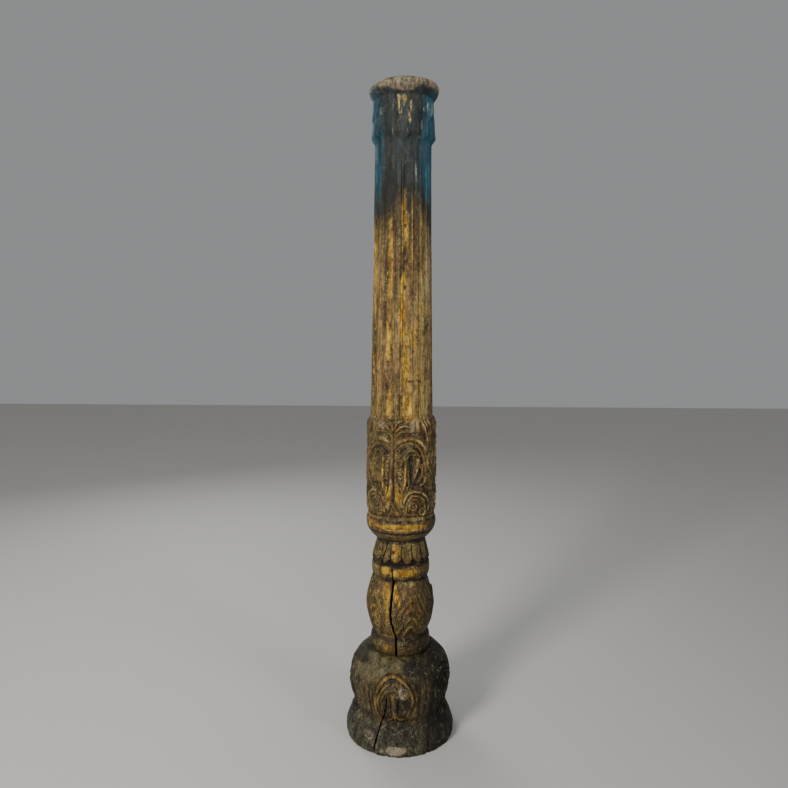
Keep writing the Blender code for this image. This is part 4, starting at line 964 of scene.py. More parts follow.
def logFields(points):
    # relief of everything carved on the log, in metres, and the fields that its finish reads
    t = tones
    z = points[:, 2]
    azimuth = azimuthOf(points)
    rows = np.array(logOutline())
    radius = np.interp(z, rows[:, 0], rows[:, 1])
    relief = grainRelief(points)
    gold = patchField(azimuth, z, "gold")
    face = np.zeros_like(z)
    deep = np.zeros_like(z)
    broken = np.zeros_like(z)

    k = inZone(z, shaftZ, collarZ)
    cut, hollow, lines, beads = fluteRelief(azimuth[k], z[k], points[k])
    relief[k] += cut
    gold[k] = fluteGold(azimuth[k], z[k], hollow, points[k])
    face[k] = beads * 0.42
    # painted shade and grime: dark lines in the grooves beside the beads
    deep[k] = lines * 0.44

    k = inZone(z, collarZ - 1e-4, capZ)
    cut, lifted = collarRelief(azimuth[k], z[k], radius[k], points[k])
    relief[k] += cut
    face[k] = lifted
    # painted shade and grime in the deeper cuts, less where the front is rubbed flat
    deep[k] = np.clip(-cut / 5, 0, 0.6) * (1 - 0.75 * wornFront(azimuth[k]))

    k = inZone(z, capZ, topZ + 1)
    cut, bared, dark = capRelief(azimuth[k], z[k], points[k])
    relief[k] += cut
    broken[k] = bared
    deep[k] = dark * 0.8

    k = inZone(z, sleeveZ, shaftZ)
    cut, lifted, gilt, dark = sleeveRelief(azimuth[k], z[k], points[k])
    relief[k] += cut
    face[k] = lifted
    deep[k] = dark
    gold[k] = gilt

    k = inZone(z, neckZ + 0.03, sleeveZ)
    cut, dark = beadRelief(azimuth[k], z[k], points[k])
    relief[k] += cut
    deep[k] = dark
    gold[k] *= 1 - 0.8 * dark
    # painted highlight along the front of the bead's gilded belly
    face[k] = 0.95 * soft(1.2 - np.abs(z[k] - 0.681) / 0.006) * soft((46 - np.abs(azimuth[k] - 8)) / 14)

    k = inZone(z, ringTopZ - 0.002, neckZ)
    cut, lifted, dark = bellRelief(azimuth[k], z[k], points[k])
    relief[k] += cut
    face[k] = lifted * 0.30
    # painted shade and grime: darker in the cuts and under the petals
    deep[k] = np.clip(-cut / 4.5, 0, 1) * 0.75 + dark * 0.5

    k = inZone(z, upperRingZ, ringTopZ - 0.004)
    # painted highlight along the upper ring's gilded belly
    face[k] = 0.85 * gold[k] * soft(1.2 - np.abs(z[k] - 0.546) / 0.007)

    k = inZone(z, bulbZ, upperRingZ)
    cut, lifted, dark = bulbRelief(azimuth[k], z[k], points[k])
    relief[k] += cut
    # raised leaves, and a little more where gold lies: painted highlight on the gilded flames
    face[k] = np.minimum(lifted * 0.7 + gold[k] * 0.10, 1)
    deep[k] = dark

    # grime and painted shade in the joints between the members: height, reach and amount
    gaps = [(neckZ + 0.004, 0.012, 0.85), (ringTopZ + 0.001, 0.012, 0.9), (upperRingZ, 0.013, 0.62),
            (bulbZ - 0.001, 0.012, 0.55), (sleeveZ + 0.002, 0.006, 0.25)]
    unevenly = 1 + 0.45 * latticeNoise(points, (30, 30, 60), 122)
    for gap, reach, amount in gaps:
        near = soft(1.3 - np.abs(z - gap) / (reach * unevenly))
        deep = np.maximum(deep, near * amount * np.minimum(unevenly, 1.1))
    # painted shade on the right-hand side; the lower members and the head of the shaft are made darker as
    # well
    turned = z < sleeveZ
    shade = soft((azimuth - 12) / 66) * 0.72 * turned
    shade = shade + soft((azimuth - 30) / 50) * 0.34 * within(z, sleeveZ, shaftZ)
    shade = shade + 0.26 * soft((-azimuth - 50) / 30) * turned + 0.42 * (z < bulbZ) + 0.22 * (z < upperRingZ)
    shade = shade + 0.34 * soft((z - 1.36) / 0.22) * (azimuth > -90) * within(z, shaftZ, 1.72)
    shade = shade + 0.55 * soft((-azimuth - 8) / 30) * soft((z - 1.62) / 0.05) * (z < capZ)
    band = soft(1.1 - np.abs(z - t["bandHeight"]) / t["bandReach"]) * 0.5
    shade = np.maximum(shade, band * (1 - patchField(azimuth, z, "gold")))
    shade = np.maximum(shade, patchField(azimuth, z, "shade") * (1 - 0.75 * gold))
    dent = dentRelief(azimuth, z, radius, points, "log")
    crack = crackRelief(azimuth, z, radius, points, ["long", "bell"])
    split = np.zeros_like(z)
    stroke(split, azimuth, (z - 1.131) / mm, [(12, -3), (26, 2), (34, -1), (48, 1), (58, 0)], 4.0, 1.5, 1.8)
    relief -= dent + split * 1.2

    # the gold ends higher at the front than at the sides, and blue shows beside the slate
    side = np.abs(angleFrom(azimuth, t["middle"]))
    fadeZ = t["fadeHeight"] - t["fadeLeft"] * soft((-azimuth - 6) / 50)
    fadeZ = fadeZ - t["fadeRight"] * soft((azimuth - 22) / 34)
    fadeZ = fadeZ - t["fadeBehind"] * soft((side - 80) / 60)
    fadeZ = fadeZ + latticeNoise(points, (60, 60, 12), 121) * t["ragged"]
    fadeZ = fadeZ + latticeNoise(points, (150, 150, 20), 123) * t["finelyRagged"]
    slate = soft((z - fadeZ) / t["fadeReach"] + 0.5) * (1 - 0.45 * soft((z - capZ - 0.010) / 0.012))
    teal = soft((side - t["tealSide"]) / t["tealSpread"]) * soft((z - t["tealHeight"]) / t["tealReach"])
    teal = teal * (1 - 0.55 * soft((z - capZ + 0.01) / 0.02))
    return (relief - crack) * mm, {
        "gold": gold * (1 - 0.75 * np.clip(dent / 2.5, 0, 1)), "face": face,
        "deep": np.clip(deep + np.clip(dent / 6, 0, 0.46) + split * 0.5, 0, 1),
        "crack": np.clip(crack / 5, 0, 1), "slate": slate, "teal": teal, "shade": shade,
        "bare": np.maximum(broken, patchField(azimuth, z, "bare")), "pale": patchField(azimuth, z, "pale"),
        "straw": patchField(azimuth, z, "straw"), "rubbedAndLit": patchField(azimuth, z, "rubbedAndLit"),
    }


def baseFields(points):
    # the same for the base: hewn wood with upright folds, the medallions, and where dust, stains and painted
    # shade lie
    z = points[:, 2]
    azimuth = azimuthOf(points)
    rows = np.array(baseOutline())
    radius = np.interp(z, rows[:, 0], rows[:, 1])
    carved, raised, deep, boss, inside = medallionRelief(azimuth, z, points)
    crack = crackRelief(azimuth, z, radius, points, ["baseFront", "baseSide"])
    dent = dentRelief(azimuth, z, radius, points, "base")
    hewn = latticeNoise(points, (34, 34, 22), 131) * 1.3 + latticeNoise(points, (70, 70, 40), 132) * 0.8
    folds = np.sin(np.radians(azimuth) * 44 + latticeNoise(points, 12, 133) * 1.5)
    folds = folds * soft((z - 0.10) / 0.03) * soft((0.225 - z) / 0.04) * (1 - inside)
    rugged = latticeNoise(points, (130, 130, 90), 134) * 1.1
    relief = carved + grainRelief(points) * 1.2 - dent + hewn * 1.25 + folds * 2.0 + rugged - 2.4
    waist = soft(1.3 - np.abs(z - waistZ) / 0.020)
    foot = soft((waistZ - 0.004 - z) / 0.014)
    # painted highlight: the medallions keep more gold on their left and along their top
    lit = soft((8 - angleFrom(azimuth, medallion["turn"])) / 18) * soft((z - 0.10) / 0.05)
    lit = np.maximum(lit, soft((z - 0.205) / 0.02) * soft((14 - angleFrom(azimuth, medallion["turn"])) / 10))
    shoulder = soft((z - 0.205) / 0.04) * (1 - inside * 0.6) + patchField(azimuth, z, "baseDust")
    # painted shade with stain: the right-hand side of the base is much darker
    stainAndShade = 1.15 * soft((80 - np.abs(angleFrom(azimuth, 86))) / 50)
    stainAndShade = np.maximum(stainAndShade, patchField(azimuth, z, "baseStain"))
    stainAndShade = np.maximum(stainAndShade, 0.5 * soft((-azimuth - 56) / 20) * soft((azimuth + 150) / 40))
    # painted shade with grime: darker in the waist, the hollows of the folds and the hewn dips
    hollows = waist * 0.30 + np.clip(-folds, 0, 1) * 0.55 + np.clip(-hewn / 4, 0, 0.35)
    chalky = boss * (0.34 + 0.6 * latticeNoise(points, 130, 86))
    return (relief - crack) * mm, {
        "gold": np.clip(raised * 1.1 - 0.1, 0, 1) * inside * (1 - boss) * (0.34 + 0.34 * lit),
        # the crests of the folds count as raised faces: a painted highlight
        "face": np.maximum(raised * inside, 0.62 * np.clip(folds, 0, 1)),
        "crack": np.clip(crack / 5, 0, 1), "deep": np.clip(deep + hollows, 0, 1),
        "pale": np.maximum(chalky, patchField(azimuth, z, "basePale")),
        "dust": shoulder, "foot": foot, "stainAndShade": stainAndShade,
    }


endSplits = ((-40, 2.6), (75, 1.8), (160, 3.0), (-130, 1.4))      # azimuth, width in millimetres


def endDetail(points, rim):
    # growth rings and drying splits on a sawn end, downwards only, in metres
    radius = np.hypot(points[:, 0], points[:, 1])
    azimuth = azimuthOf(points)
    rings = np.sin((radius + latticeNoise(points, 18, 111) * 0.006) * 900) * 0.15
    split = np.zeros_like(radius)
    for middle, width in endSplits:
        across = np.abs(np.radians(angleFrom(azimuth, middle)) * radius / mm)
        split = np.maximum(split, np.clip(1 - across / width, 0, 1) * soft(radius / rim * 2 - 0.2))
    return (-0.3 - 0.15 + rings + latticeNoise(points, 60, 112) * 0.25 - 5 * split) * mm


def carve(piece, fieldsOf, topLevel, rim):
    # the side is carved in and out; the flat ends keep their rims and only the top one gets detail
    points = meshPoints(piece)
    radius = np.hypot(points[:, 0], points[:, 1])
    relief, _ = fieldsOf(points)
    z = points[:, 2]
    rimStart = rim * 0.97
    inner = (z > topLevel - nearZero) & (radius < rimStart)
    side = (radius > rimStart) | ((z > nearZero) & (z < topLevel - nearZero) & (radius > 0.02))
    scale = np.where(side & ~inner, (radius + relief) / np.maximum(radius, 1e-6), 1)
    moved = points.copy()
    moved[:, 0] *= scale
    moved[:, 1] *= scale
    moved[inner, 2] += endDetail(points[inner], rim)
    piece.data.vertices.foreach_set("co", moved.ravel())
    piece.data.update()


def modelPiece(name, rows, sizes, fieldsOf, rim):
    columns = sizes["columns"] // 1
    top = rows[-1]
    bottom = rows[0]
    line = flatFace(bottom[0], bottom[1], 0.03) + rows + flatFace(top[0], top[1], 0.004)[::-1]
    piece = turn(name, line, columns)
    print(name, "turned:", len(piece.data.vertices), "points")
    carve(piece, fieldsOf, top[0], rim)
    thinOut(piece, sizes["triangles"])
    _, fields = fieldsOf(meshPoints(piece))
    for field, values in fields.items():
        keepField(piece, field, values)
    print(name, "carved:", len(piece.data.polygons), "faces")
    return piece


logPiece = modelPiece("carvedLog", logOutline(), logSizes, logFields, logSizes["lowerRingFootRadius"] * 0.98)
basePiece = modelPiece("carvedBase", baseOutline(), baseSizes, baseFields, baseSizes["seatRadius"])


# finishes

def paint(red, green, blue):
    # a colour as 0 to 255 on a screen, in the shader's own values
    return tuple(((v / 255 + 0.055) / 1.055) ** 2.4 for v in (red, green, blue)) + (1,)


def addNode(tree, kind, settings=None, inputs=None):
    node = tree.nodes.new(kind)
    for key, value in (settings or {}).items():
        setattr(node, key, value)
    for key, value in (inputs or {}).items():
        if isinstance(value, bpy.types.NodeSocket):
            tree.links.new(value, node.inputs[key])
        else:
            node.inputs[key].default_value = value
    return node


def sums(tree, operation, first, second=0.0, clamp=False):
    return addNode(tree, "ShaderNodeMath", {"operation": operation, "use_clamp": clamp},
                   {0: first, 1: second}).outputs[0]


def plus(tree, first, second, clamp=False):
    return sums(tree, "ADD", first, second, clamp)


def minus(tree, first, second):
    return sums(tree, "SUBTRACT", first, second)


def times(tree, first, second):
    return sums(tree, "MULTIPLY", first, second)


def without(tree, mask, strength):
    # what a mask leaves free
    return minus(tree, 1.0, times(tree, mask, strength))


def cover(tree, mask, under, over):
    # lays one colour over another
    return addNode(tree, "ShaderNodeMix", {"data_type": "RGBA"}, {0: mask, 6: under, 7: over}).outputs[2]


def lay(tree, colour, mask, strength, over):
    # one more layer on a colour, as strong as its share of the mask
    return cover(tree, times(tree, mask, strength), colour, over)


def between(tree, mask, low, high):
    return addNode(tree, "ShaderNodeMix", {"data_type": "FLOAT"}, {0: mask, 2: low, 3: high}).outputs[0]


def ramp(tree, value, low, high):
    return addNode(tree, "ShaderNodeMapRange", {"interpolation_type": "SMOOTHSTEP"},
                   {0: value, 1: low, 2: high}).outputs[0]


def stretched(tree, place, grain, scale, detail, rough, distortion=0.0):
    # noise on coordinates that are stretched along the grain
    if grain != 1:
        place = mapped(tree, place, "Scale", (1, 1, grain))
    return addNode(tree, "ShaderNodeTexNoise", None,
                   {"Vector": place, "Scale": scale, "Detail": detail,
                    "Roughness": rough, "Distortion": distortion}).outputs[0]


def mapped(tree, place, how, amount):
    return addNode(tree, "ShaderNodeMapping", None, {"Vector": place, how: amount}).outputs[0]


def cutNoise(tree, place, row):
    grain, scale, detail, rough, distortion, low, high = row
    return ramp(tree, stretched(tree, place, grain, scale, detail, rough, distortion), low, high)


def newGroup(name, inputs, outputs):
    group = bpy.data.node_groups.new(name, "ShaderNodeTree")
    for socket, kind, value in inputs:
        made = group.interface.new_socket(name=socket, in_out="INPUT", socket_type=kind)
        if value is not None:
            made.default_value = value
    for socket in outputs:
        group.interface.new_socket(name=socket, in_out="OUTPUT", socket_type="NodeSocketFloat")
    start = group.nodes.new("NodeGroupInput")
    end = group.nodes.new("NodeGroupOutput")
    return group, start.outputs, end.inputs


def makeWoodFibre():
    group, given, made = newGroup("woodFibre", [("Place", "NodeSocketVector", None)], ["Streak", "Height"])
    broad = stretched(group, given["Place"], 0.12, 38, 5, 0.65)
    fine = stretched(group, given["Place"], 0.05, 160, 3, 0.55)
    pores = ramp(group, stretched(group, given["Place"], 0.06, 420, 2, 0.5), 0.58, 0.72)
    streak = plus(group, times(group, broad, 0.72), times(group, fine, 0.28))
    group.links.new(ramp(group, streak, 0.36, 0.64), made["Streak"])
    height = minus(group, times(group, fine, 0.8), times(group, pores, 0.35))
    group.links.new(height, made["Height"])
    return group


def makeRaggedMask():
    # turns a soft amount into a layer with torn, flaking edges
    group, given, made = newGroup("raggedMask", [
        ("Amount", "NodeSocketFloat", 0.5), ("Place", "NodeSocketVector", None),
        ("Softness", "NodeSocketFloat", 0.1),
        ("Roughness", "NodeSocketFloat", 1.0)], ["Mask"])
    coarse = stretched(group, given["Place"], 0.16, 55, 5, 0.7)
    fine = stretched(group, given["Place"], 0.45, 210, 4, 0.7)
    torn = plus(group, times(group, coarse, 2.0), times(group, fine, 1.5))
    torn = times(group, minus(group, torn, 1.75), given["Roughness"])
    value = plus(group, given["Amount"], torn)
    low = minus(group, 0.5, given["Softness"])
    high = plus(group, 0.5, given["Softness"])
    group.links.new(ramp(group, value, low, high), made["Mask"])
    return group


def makeSpecks():
    # scattered chips, flakes and dust specks
    group, given, made = newGroup("specks", [
        ("Place", "NodeSocketVector", None), ("Scale", "NodeSocketFloat", 200.0),
        ("Size", "NodeSocketFloat", 0.3)],
        ["Mask"])
    cells = addNode(group, "ShaderNodeTexVoronoi", None,
                    {"Vector": given["Place"], "Scale": given["Scale"], "Randomness": 1.0}).outputs[0]
    gathered = stretched(group, given["Place"], 0.6, 32, 3, 0.6)
    reach = times(group, given["Size"], ramp(group, gathered, 0.42, 0.66))
    group.links.new(ramp(group, minus(group, reach, cells), -0.02, 0.08), made["Mask"])
    return group


def makeRidgeWearAndLight():
    # rubbed ridges with painted highlight where the carving stands proud, and grime with painted shade where
    # it lies deep, broken up by noise
    group, given, made = newGroup("ridgeWearAndLight", [
        ("Face", "NodeSocketFloat", 0.0), ("Deep", "NodeSocketFloat", 0.0),
        ("Place", "NodeSocketVector", None)],
        ["Worn", "GrimeAndShade"])
    patchy = stretched(group, given["Place"], 0.6, 120, 5, 0.7)
    value = plus(group, given["Face"], times(group, minus(group, patchy, 0.5), 1.6))
    group.links.new(ramp(group, value, 0.55, 1.05), made["Worn"])
    value = plus(group, given["Deep"], times(group, minus(group, patchy, 0.5), 0.7))
    group.links.new(ramp(group, value, 0.18, 0.72), made["GrimeAndShade"])
    return group


def makeGrit():
    # fine light and dark grains of old dirt, worn paint and dust
    group, given, made = newGroup("grit", [("Place", "NodeSocketVector", None)], ["Light", "Dark"])
    fine = stretched(group, given["Place"], 0.75, 120, 5, 0.88)
    gathered = stretched(group, given["Place"], 0.5, 30, 3, 0.6)
    value = plus(group, fine, times(group, minus(group, gathered, 0.5), 0.25))
    group.links.new(ramp(group, value, 0.53, 0.62), made["Light"])
    group.links.new(ramp(group, minus(group, 1.0, value), 0.51, 0.60), made["Dark"])
    return group


woodFibre = makeWoodFibre()
raggedMask = makeRaggedMask()
specks = makeSpecks()
ridgeWearAndLight = makeRidgeWearAndLight()
grit = makeGrit()


def useGroup(tree, group, inputs):
    return addNode(tree, "ShaderNodeGroup", {"node_tree": group}, inputs).outputs


def field(tree, name):
    return addNode(tree, "ShaderNodeAttribute", {"attribute_name": name}).outputs["Fac"]


def startMaterial(name):
    material = bpy.data.materials.new(name)
    material.use_nodes = True
    tree = material.node_tree
    place = addNode(tree, "ShaderNodeTexCoord").outputs["Object"]
    return material, tree, tree.nodes["Principled BSDF"], place


def ragged(tree, place, amount, softness=0.1, roughness=1.0):
    return useGroup(tree, raggedMask, {"Amount": amount, "Place": place, "Softness": softness,
                                       "Roughness": roughness})["Mask"]


def speckle(tree, place, scale, size):
    return useGroup(tree, specks, {"Place": place, "Scale": scale, "Size": size})["Mask"]


def tinted(tree, place, colour, warm, cool):
    # small patches of two tints, as old paint and moss leave them
    hue = stretched(tree, place, 0.6, 88, 4, 0.75, 0.3)
    colour = lay(tree, colour, ramp(tree, hue, 0.52, 0.64), 0.65, warm)
    return lay(tree, colour, ramp(tree, minus(tree, 1.0, hue), 0.52, 0.64), 0.60, cool)


logFinish = {
    "woodDark": paint(42, 32, 16), "woodLight": paint(132, 108, 58), "plum": paint(118, 74, 56),
    # cream is a painted highlight for ridge tops; rubbed is worn wood and also painted light
    "olive": paint(84, 84, 34), "rubbedAndLit": paint(184, 150, 94), "highlightCream": paint(220, 200, 150),
    "goldDeep": paint(160, 108, 24), "gold": paint(220, 172, 56), "goldPale": paint(228, 204, 106),
    "straw": paint(212, 200, 126),
    # grime also serves as painted shade in hollows and joints
    "umber": paint(22, 19, 11), "grimeAndShade": paint(20, 16, 9), "slateDark": paint(17, 26, 31),
    "slateLight": paint(56, 68, 69),
    "slateBrown": paint(58, 54, 40), "tealDark": paint(14, 48, 62), "tealLight": paint(44, 110, 130),
    "bareDark": paint(70, 62, 50), "bareLight": paint(160, 150, 126), "bareBrown": paint(112, 92, 64),
    "pink": paint(196, 152, 132), "pale": paint(158, 172, 164), "crack": paint(6, 5, 4),
    "metallic": 0.35, "goldRough": 0.50, "woodRough": 0.60, "sheen": 0.28, "bump": 0.9,
    "bumpDistance": 0.0018,
}


# noises that are cut to masks: stretch along the grain, cells a metre, detail, roughness,
# distortion, then the value where the mask starts and where it is full
logNoises = {
    "giltTone": (0.4, 60, 5, 0.75, 0, 0.40, 0.56),
    "giltPale": (0.3, 110, 5, 0.75, 0, 0.53, 0.66),
    "darkStripes": (0.045, 100, 4, 0.7, 0, 0.50, 0.62),
    "lightStripes": (0.05, 120, 4, 0.7, 0, 0.54, 0.64),
    "mottled": (0.5, 78, 6, 0.78, 0, 0.48, 0.60),
    "greened": (0.5, 64, 5, 0.72, 0.3, 0.53, 0.66),
    "browned": (0.3, 40, 5, 0.7, 0, 0.48, 0.62),
    "splinters": (0.6, 90, 5, 0.75, 0, 0.38, 0.60),
}


def makeLogMaterial():
    f = logFinish
    p = logNoises
    material, tree, shader, place = startMaterial("oldGiltWood")
    height = addNode(tree, "ShaderNodeSeparateXYZ", None, {0: place}).outputs["Z"]
    onShaft = ramp(tree, height, 1.01, 1.03)
    # carved parts show patches where the plain shaft shows long streaks
    close = mapped(tree, place, "Scale", (1, 1, 4))
    streaky = addNode(tree, "ShaderNodeMix", {"data_type": "VECTOR"},
                      {0: onShaft, 4: close, 5: place}).outputs[1]
    fibre = useGroup(tree, woodFibre, {"Place": streaky})
    wear = useGroup(tree, ridgeWearAndLight, {"Face": field(tree, "face"), "Deep": field(tree, "deep"),
                                      "Place": place})
    grains = useGroup(tree, grit, {"Place": place})
    patchy = stretched(tree, place, 0.25, 30, 5, 0.65)
    colour = cover(tree, fibre["Streak"], f["woodDark"], f["woodLight"])
    colour = lay(tree, colour, ramp(tree, patchy, 0.45, 0.62), 0.50, f["plum"])
    green = stretched(tree, place, 0.5, 22, 4, 0.6, 0.4)
    colour = lay(tree, colour, ramp(tree, green, 0.48, 0.62), 0.60, f["olive"])
    # rubbed ridges, partly a painted highlight
    colour = lay(tree, colour, wear["Worn"], 0.62, f["rubbedAndLit"])
    # rubbed patches, partly painted light on the right-hand side of the shaft
    rubbedAndLit = ragged(tree, place, field(tree, "rubbedAndLit"), 0.4, 0.9)
    colour = lay(tree, colour, rubbedAndLit, 0.72, f["rubbedAndLit"])
    colour = tinted(tree, place, colour, f["plum"], f["olive"])
    gilt = cover(tree, cutNoise(tree, place, p["giltTone"]), f["goldDeep"], f["gold"])
    gilt = cover(tree, cutNoise(tree, place, p["giltPale"]), gilt, f["goldPale"])
    giltMask = ragged(tree, streaky, field(tree, "gold"), 0.20, 0.9)
    colour = lay(tree, colour, giltMask, 0.90, gilt)
    ungilt = without(tree, giltMask, 0.8)
    stripes = cutNoise(tree, place, p["darkStripes"])
    colour = lay(tree, colour, stripes, times(tree, onShaft, 0.50), f["woodDark"])
    stripes = cutNoise(tree, place, p["lightStripes"])
    stripes = times(tree, stripes, ungilt)
    colour = lay(tree, colour, stripes, times(tree, onShaft, 0.45), f["rubbedAndLit"])
    mottled = cutNoise(tree, place, p["mottled"])
    strawMask = ragged(tree, streaky, field(tree, "straw"), 0.28, 1.2)
    strawMask = times(tree, strawMask, without(tree, mottled, 0.72))
    colour = lay(tree, colour, mottled, 0.60, f["woodDark"])
    greened = cutNoise(tree, place, p["greened"])
    colour = lay(tree, colour, greened, 0.40, f["olive"])
    # painted highlight, with wear: pale cream on the tops of the ridges
    ridgeHighlight = stretched(tree, place, 0.7, 190, 4, 0.75)
    ridgeHighlight = ramp(tree, plus(tree, field(tree, "face"), ridgeHighlight), 1.28, 1.50)
    colour = lay(tree, colour, ridgeHighlight, 0.62, f["highlightCream"])
    colour = lay(tree, colour, strawMask, 0.74, f["straw"])
    colour = lay(tree, colour, grains["Dark"], 0.60, f["woodDark"])
    colour = lay(tree, colour, grains["Light"], times(tree, ungilt, 0.40), f["rubbedAndLit"])
    # grime with painted shade in cuts, recesses and joints
    colour = lay(tree, colour, wear["GrimeAndShade"], 0.88, f["grimeAndShade"])
    soot = lay(tree, f["slateDark"], fibre["Streak"], 0.8, f["slateLight"])
    browned = cutNoise(tree, place, p["browned"])
    soot = lay(tree, soot, browned, 0.30, f["slateBrown"])
    soot = lay(tree, soot, mottled, 0.45, f["slateDark"])
    sootFoot = lay(tree, f["umber"], fibre["Streak"], 0.8, f["slateBrown"])
    soot = cover(tree, ramp(tree, height, 1.58, 1.76), sootFoot, soot)
    slateMask = ragged(tree, place, field(tree, "slate"), 0.30, 0.7)
    kept = sums(tree, "MAXIMUM", giltMask, strawMask)
    sootCover = times(tree, slateMask, minus(tree, 0.95, times(tree, kept, 0.58)))
    colour = cover(tree, sootCover, colour, soot)
    blue = lay(tree, f["tealDark"], fibre["Streak"], 0.75, f["tealLight"])
    blue = lay(tree, blue, mottled, 0.45, f["slateDark"])
    tealMask = ragged(tree, place, field(tree, "teal"), 0.48, 0.6)
    colour = lay(tree, colour, tealMask, 0.85, blue)
    # painted shade: the shade field darkens the colour towards umber, less on the blue
    shaded = ragged(tree, place, field(tree, "shade"), 0.5, 0.35)
    shaded = times(tree, times(tree, shaded, 0.72), without(tree, tealMask, 0.9))
    colour = cover(tree, shaded, colour, f["umber"])
    splinter = cutNoise(tree, place, p["splinters"])
    broken = cover(tree, splinter, f["bareDark"], f["bareLight"])
    broken = lay(tree, broken, mottled, 0.66, f["bareBrown"])
    broken = lay(tree, broken, grains["Dark"], 0.55, f["slateBrown"])
    broken = lay(tree, broken, ramp(tree, green, 0.54, 0.64), 0.50, f["pink"])
    bareMask = ragged(tree, close, field(tree, "bare"), 0.45, 0.9)
    colour = lay(tree, colour, bareMask, 0.76, broken)
    paleMask = ragged(tree, streaky, field(tree, "pale"), 0.25, 0.6)
    colour = lay(tree, colour, paleMask, 0.72, f["pale"])
    chips = speckle(tree, place, 260, 0.34)
    colour = lay(tree, colour, chips, 0.55, f["grimeAndShade"])
    beside = mapped(tree, place, "Location", (3, 1, 2))
    flecks = times(tree, speckle(tree, beside, 250, 0.36), without(tree, slateMask, 0.85))
    colour = lay(tree, colour, flecks, 0.52, f["straw"])
    colour = cover(tree, ramp(tree, field(tree, "crack"), 0.05, 0.5), colour, f["crack"])
    tree.links.new(colour, shader.inputs["Base Color"])
    rough = between(tree, giltMask, f["woodRough"], f["goldRough"])
    rough = plus(tree, rough, times(tree, minus(tree, patchy, 0.5), 0.35))
    rough = plus(tree, rough, times(tree, wear["GrimeAndShade"], 0.12))
    rough = plus(tree, rough, times(tree, slateMask, 0.10), True)
    tree.links.new(rough, shader.inputs["Roughness"])
    shine = times(tree, giltMask, minus(tree, 1.0, wear["GrimeAndShade"]))
    tree.links.new(times(tree, shine, f["metallic"]), shader.inputs["Metallic"])
    shader.inputs["Specular IOR Level"].default_value = f["sheen"]
    height = plus(tree, times(tree, fibre["Height"], 0.8), times(tree, giltMask, 0.30))
    height = minus(tree, height, times(tree, chips, 0.5))
    height = plus(tree, height, times(tree, stretched(tree, place, 0.6, 150, 5, 0.7), 0.7))
    bump = addNode(tree, "ShaderNodeBump", None, {"Strength": f["bump"], "Distance": f["bumpDistance"],
                                                  "Height": height})
    tree.links.new(bump.outputs["Normal"], shader.inputs["Normal"])
    return material


baseFinish = {
    "woodDark": paint(26, 22, 12), "woodLight": paint(134, 116, 74), "brown": paint(90, 62, 30),
    "olive": paint(80, 78, 36), "rubbedAndLit": paint(128, 104, 64), "gold": paint(128, 92, 28),
    # grime also serves as painted shade in hollows and on the right-hand side
    "goldPale": paint(178, 142, 62), "grimeAndShade": paint(14, 12, 9), "footDark": paint(20, 24, 20),
    "footLight": paint(98, 98, 80), "dust": paint(126, 118, 84), "pale": paint(174, 158, 134),
    "crack": paint(5, 4, 4),
    "woodRough": 0.48, "sheen": 0.26, "bump": 0.9, "bumpDistance": 0.0017,
}


baseNoises = {
    "footing": (0.7, 48, 6, 0.78, 0, 0.42, 0.58),
    "giltTone": (0.5, 90, 4, 0.7, 0, 0.42, 0.62),
    "mottled": (0.45, 60, 6, 0.78, 0, 0.46, 0.58),
    "blotched": (0.7, 46, 6, 0.8, 0.4, 0.50, 0.60),
    "glints": (0.8, 74, 6, 0.85, 0.2, 0.56, 0.66),
}


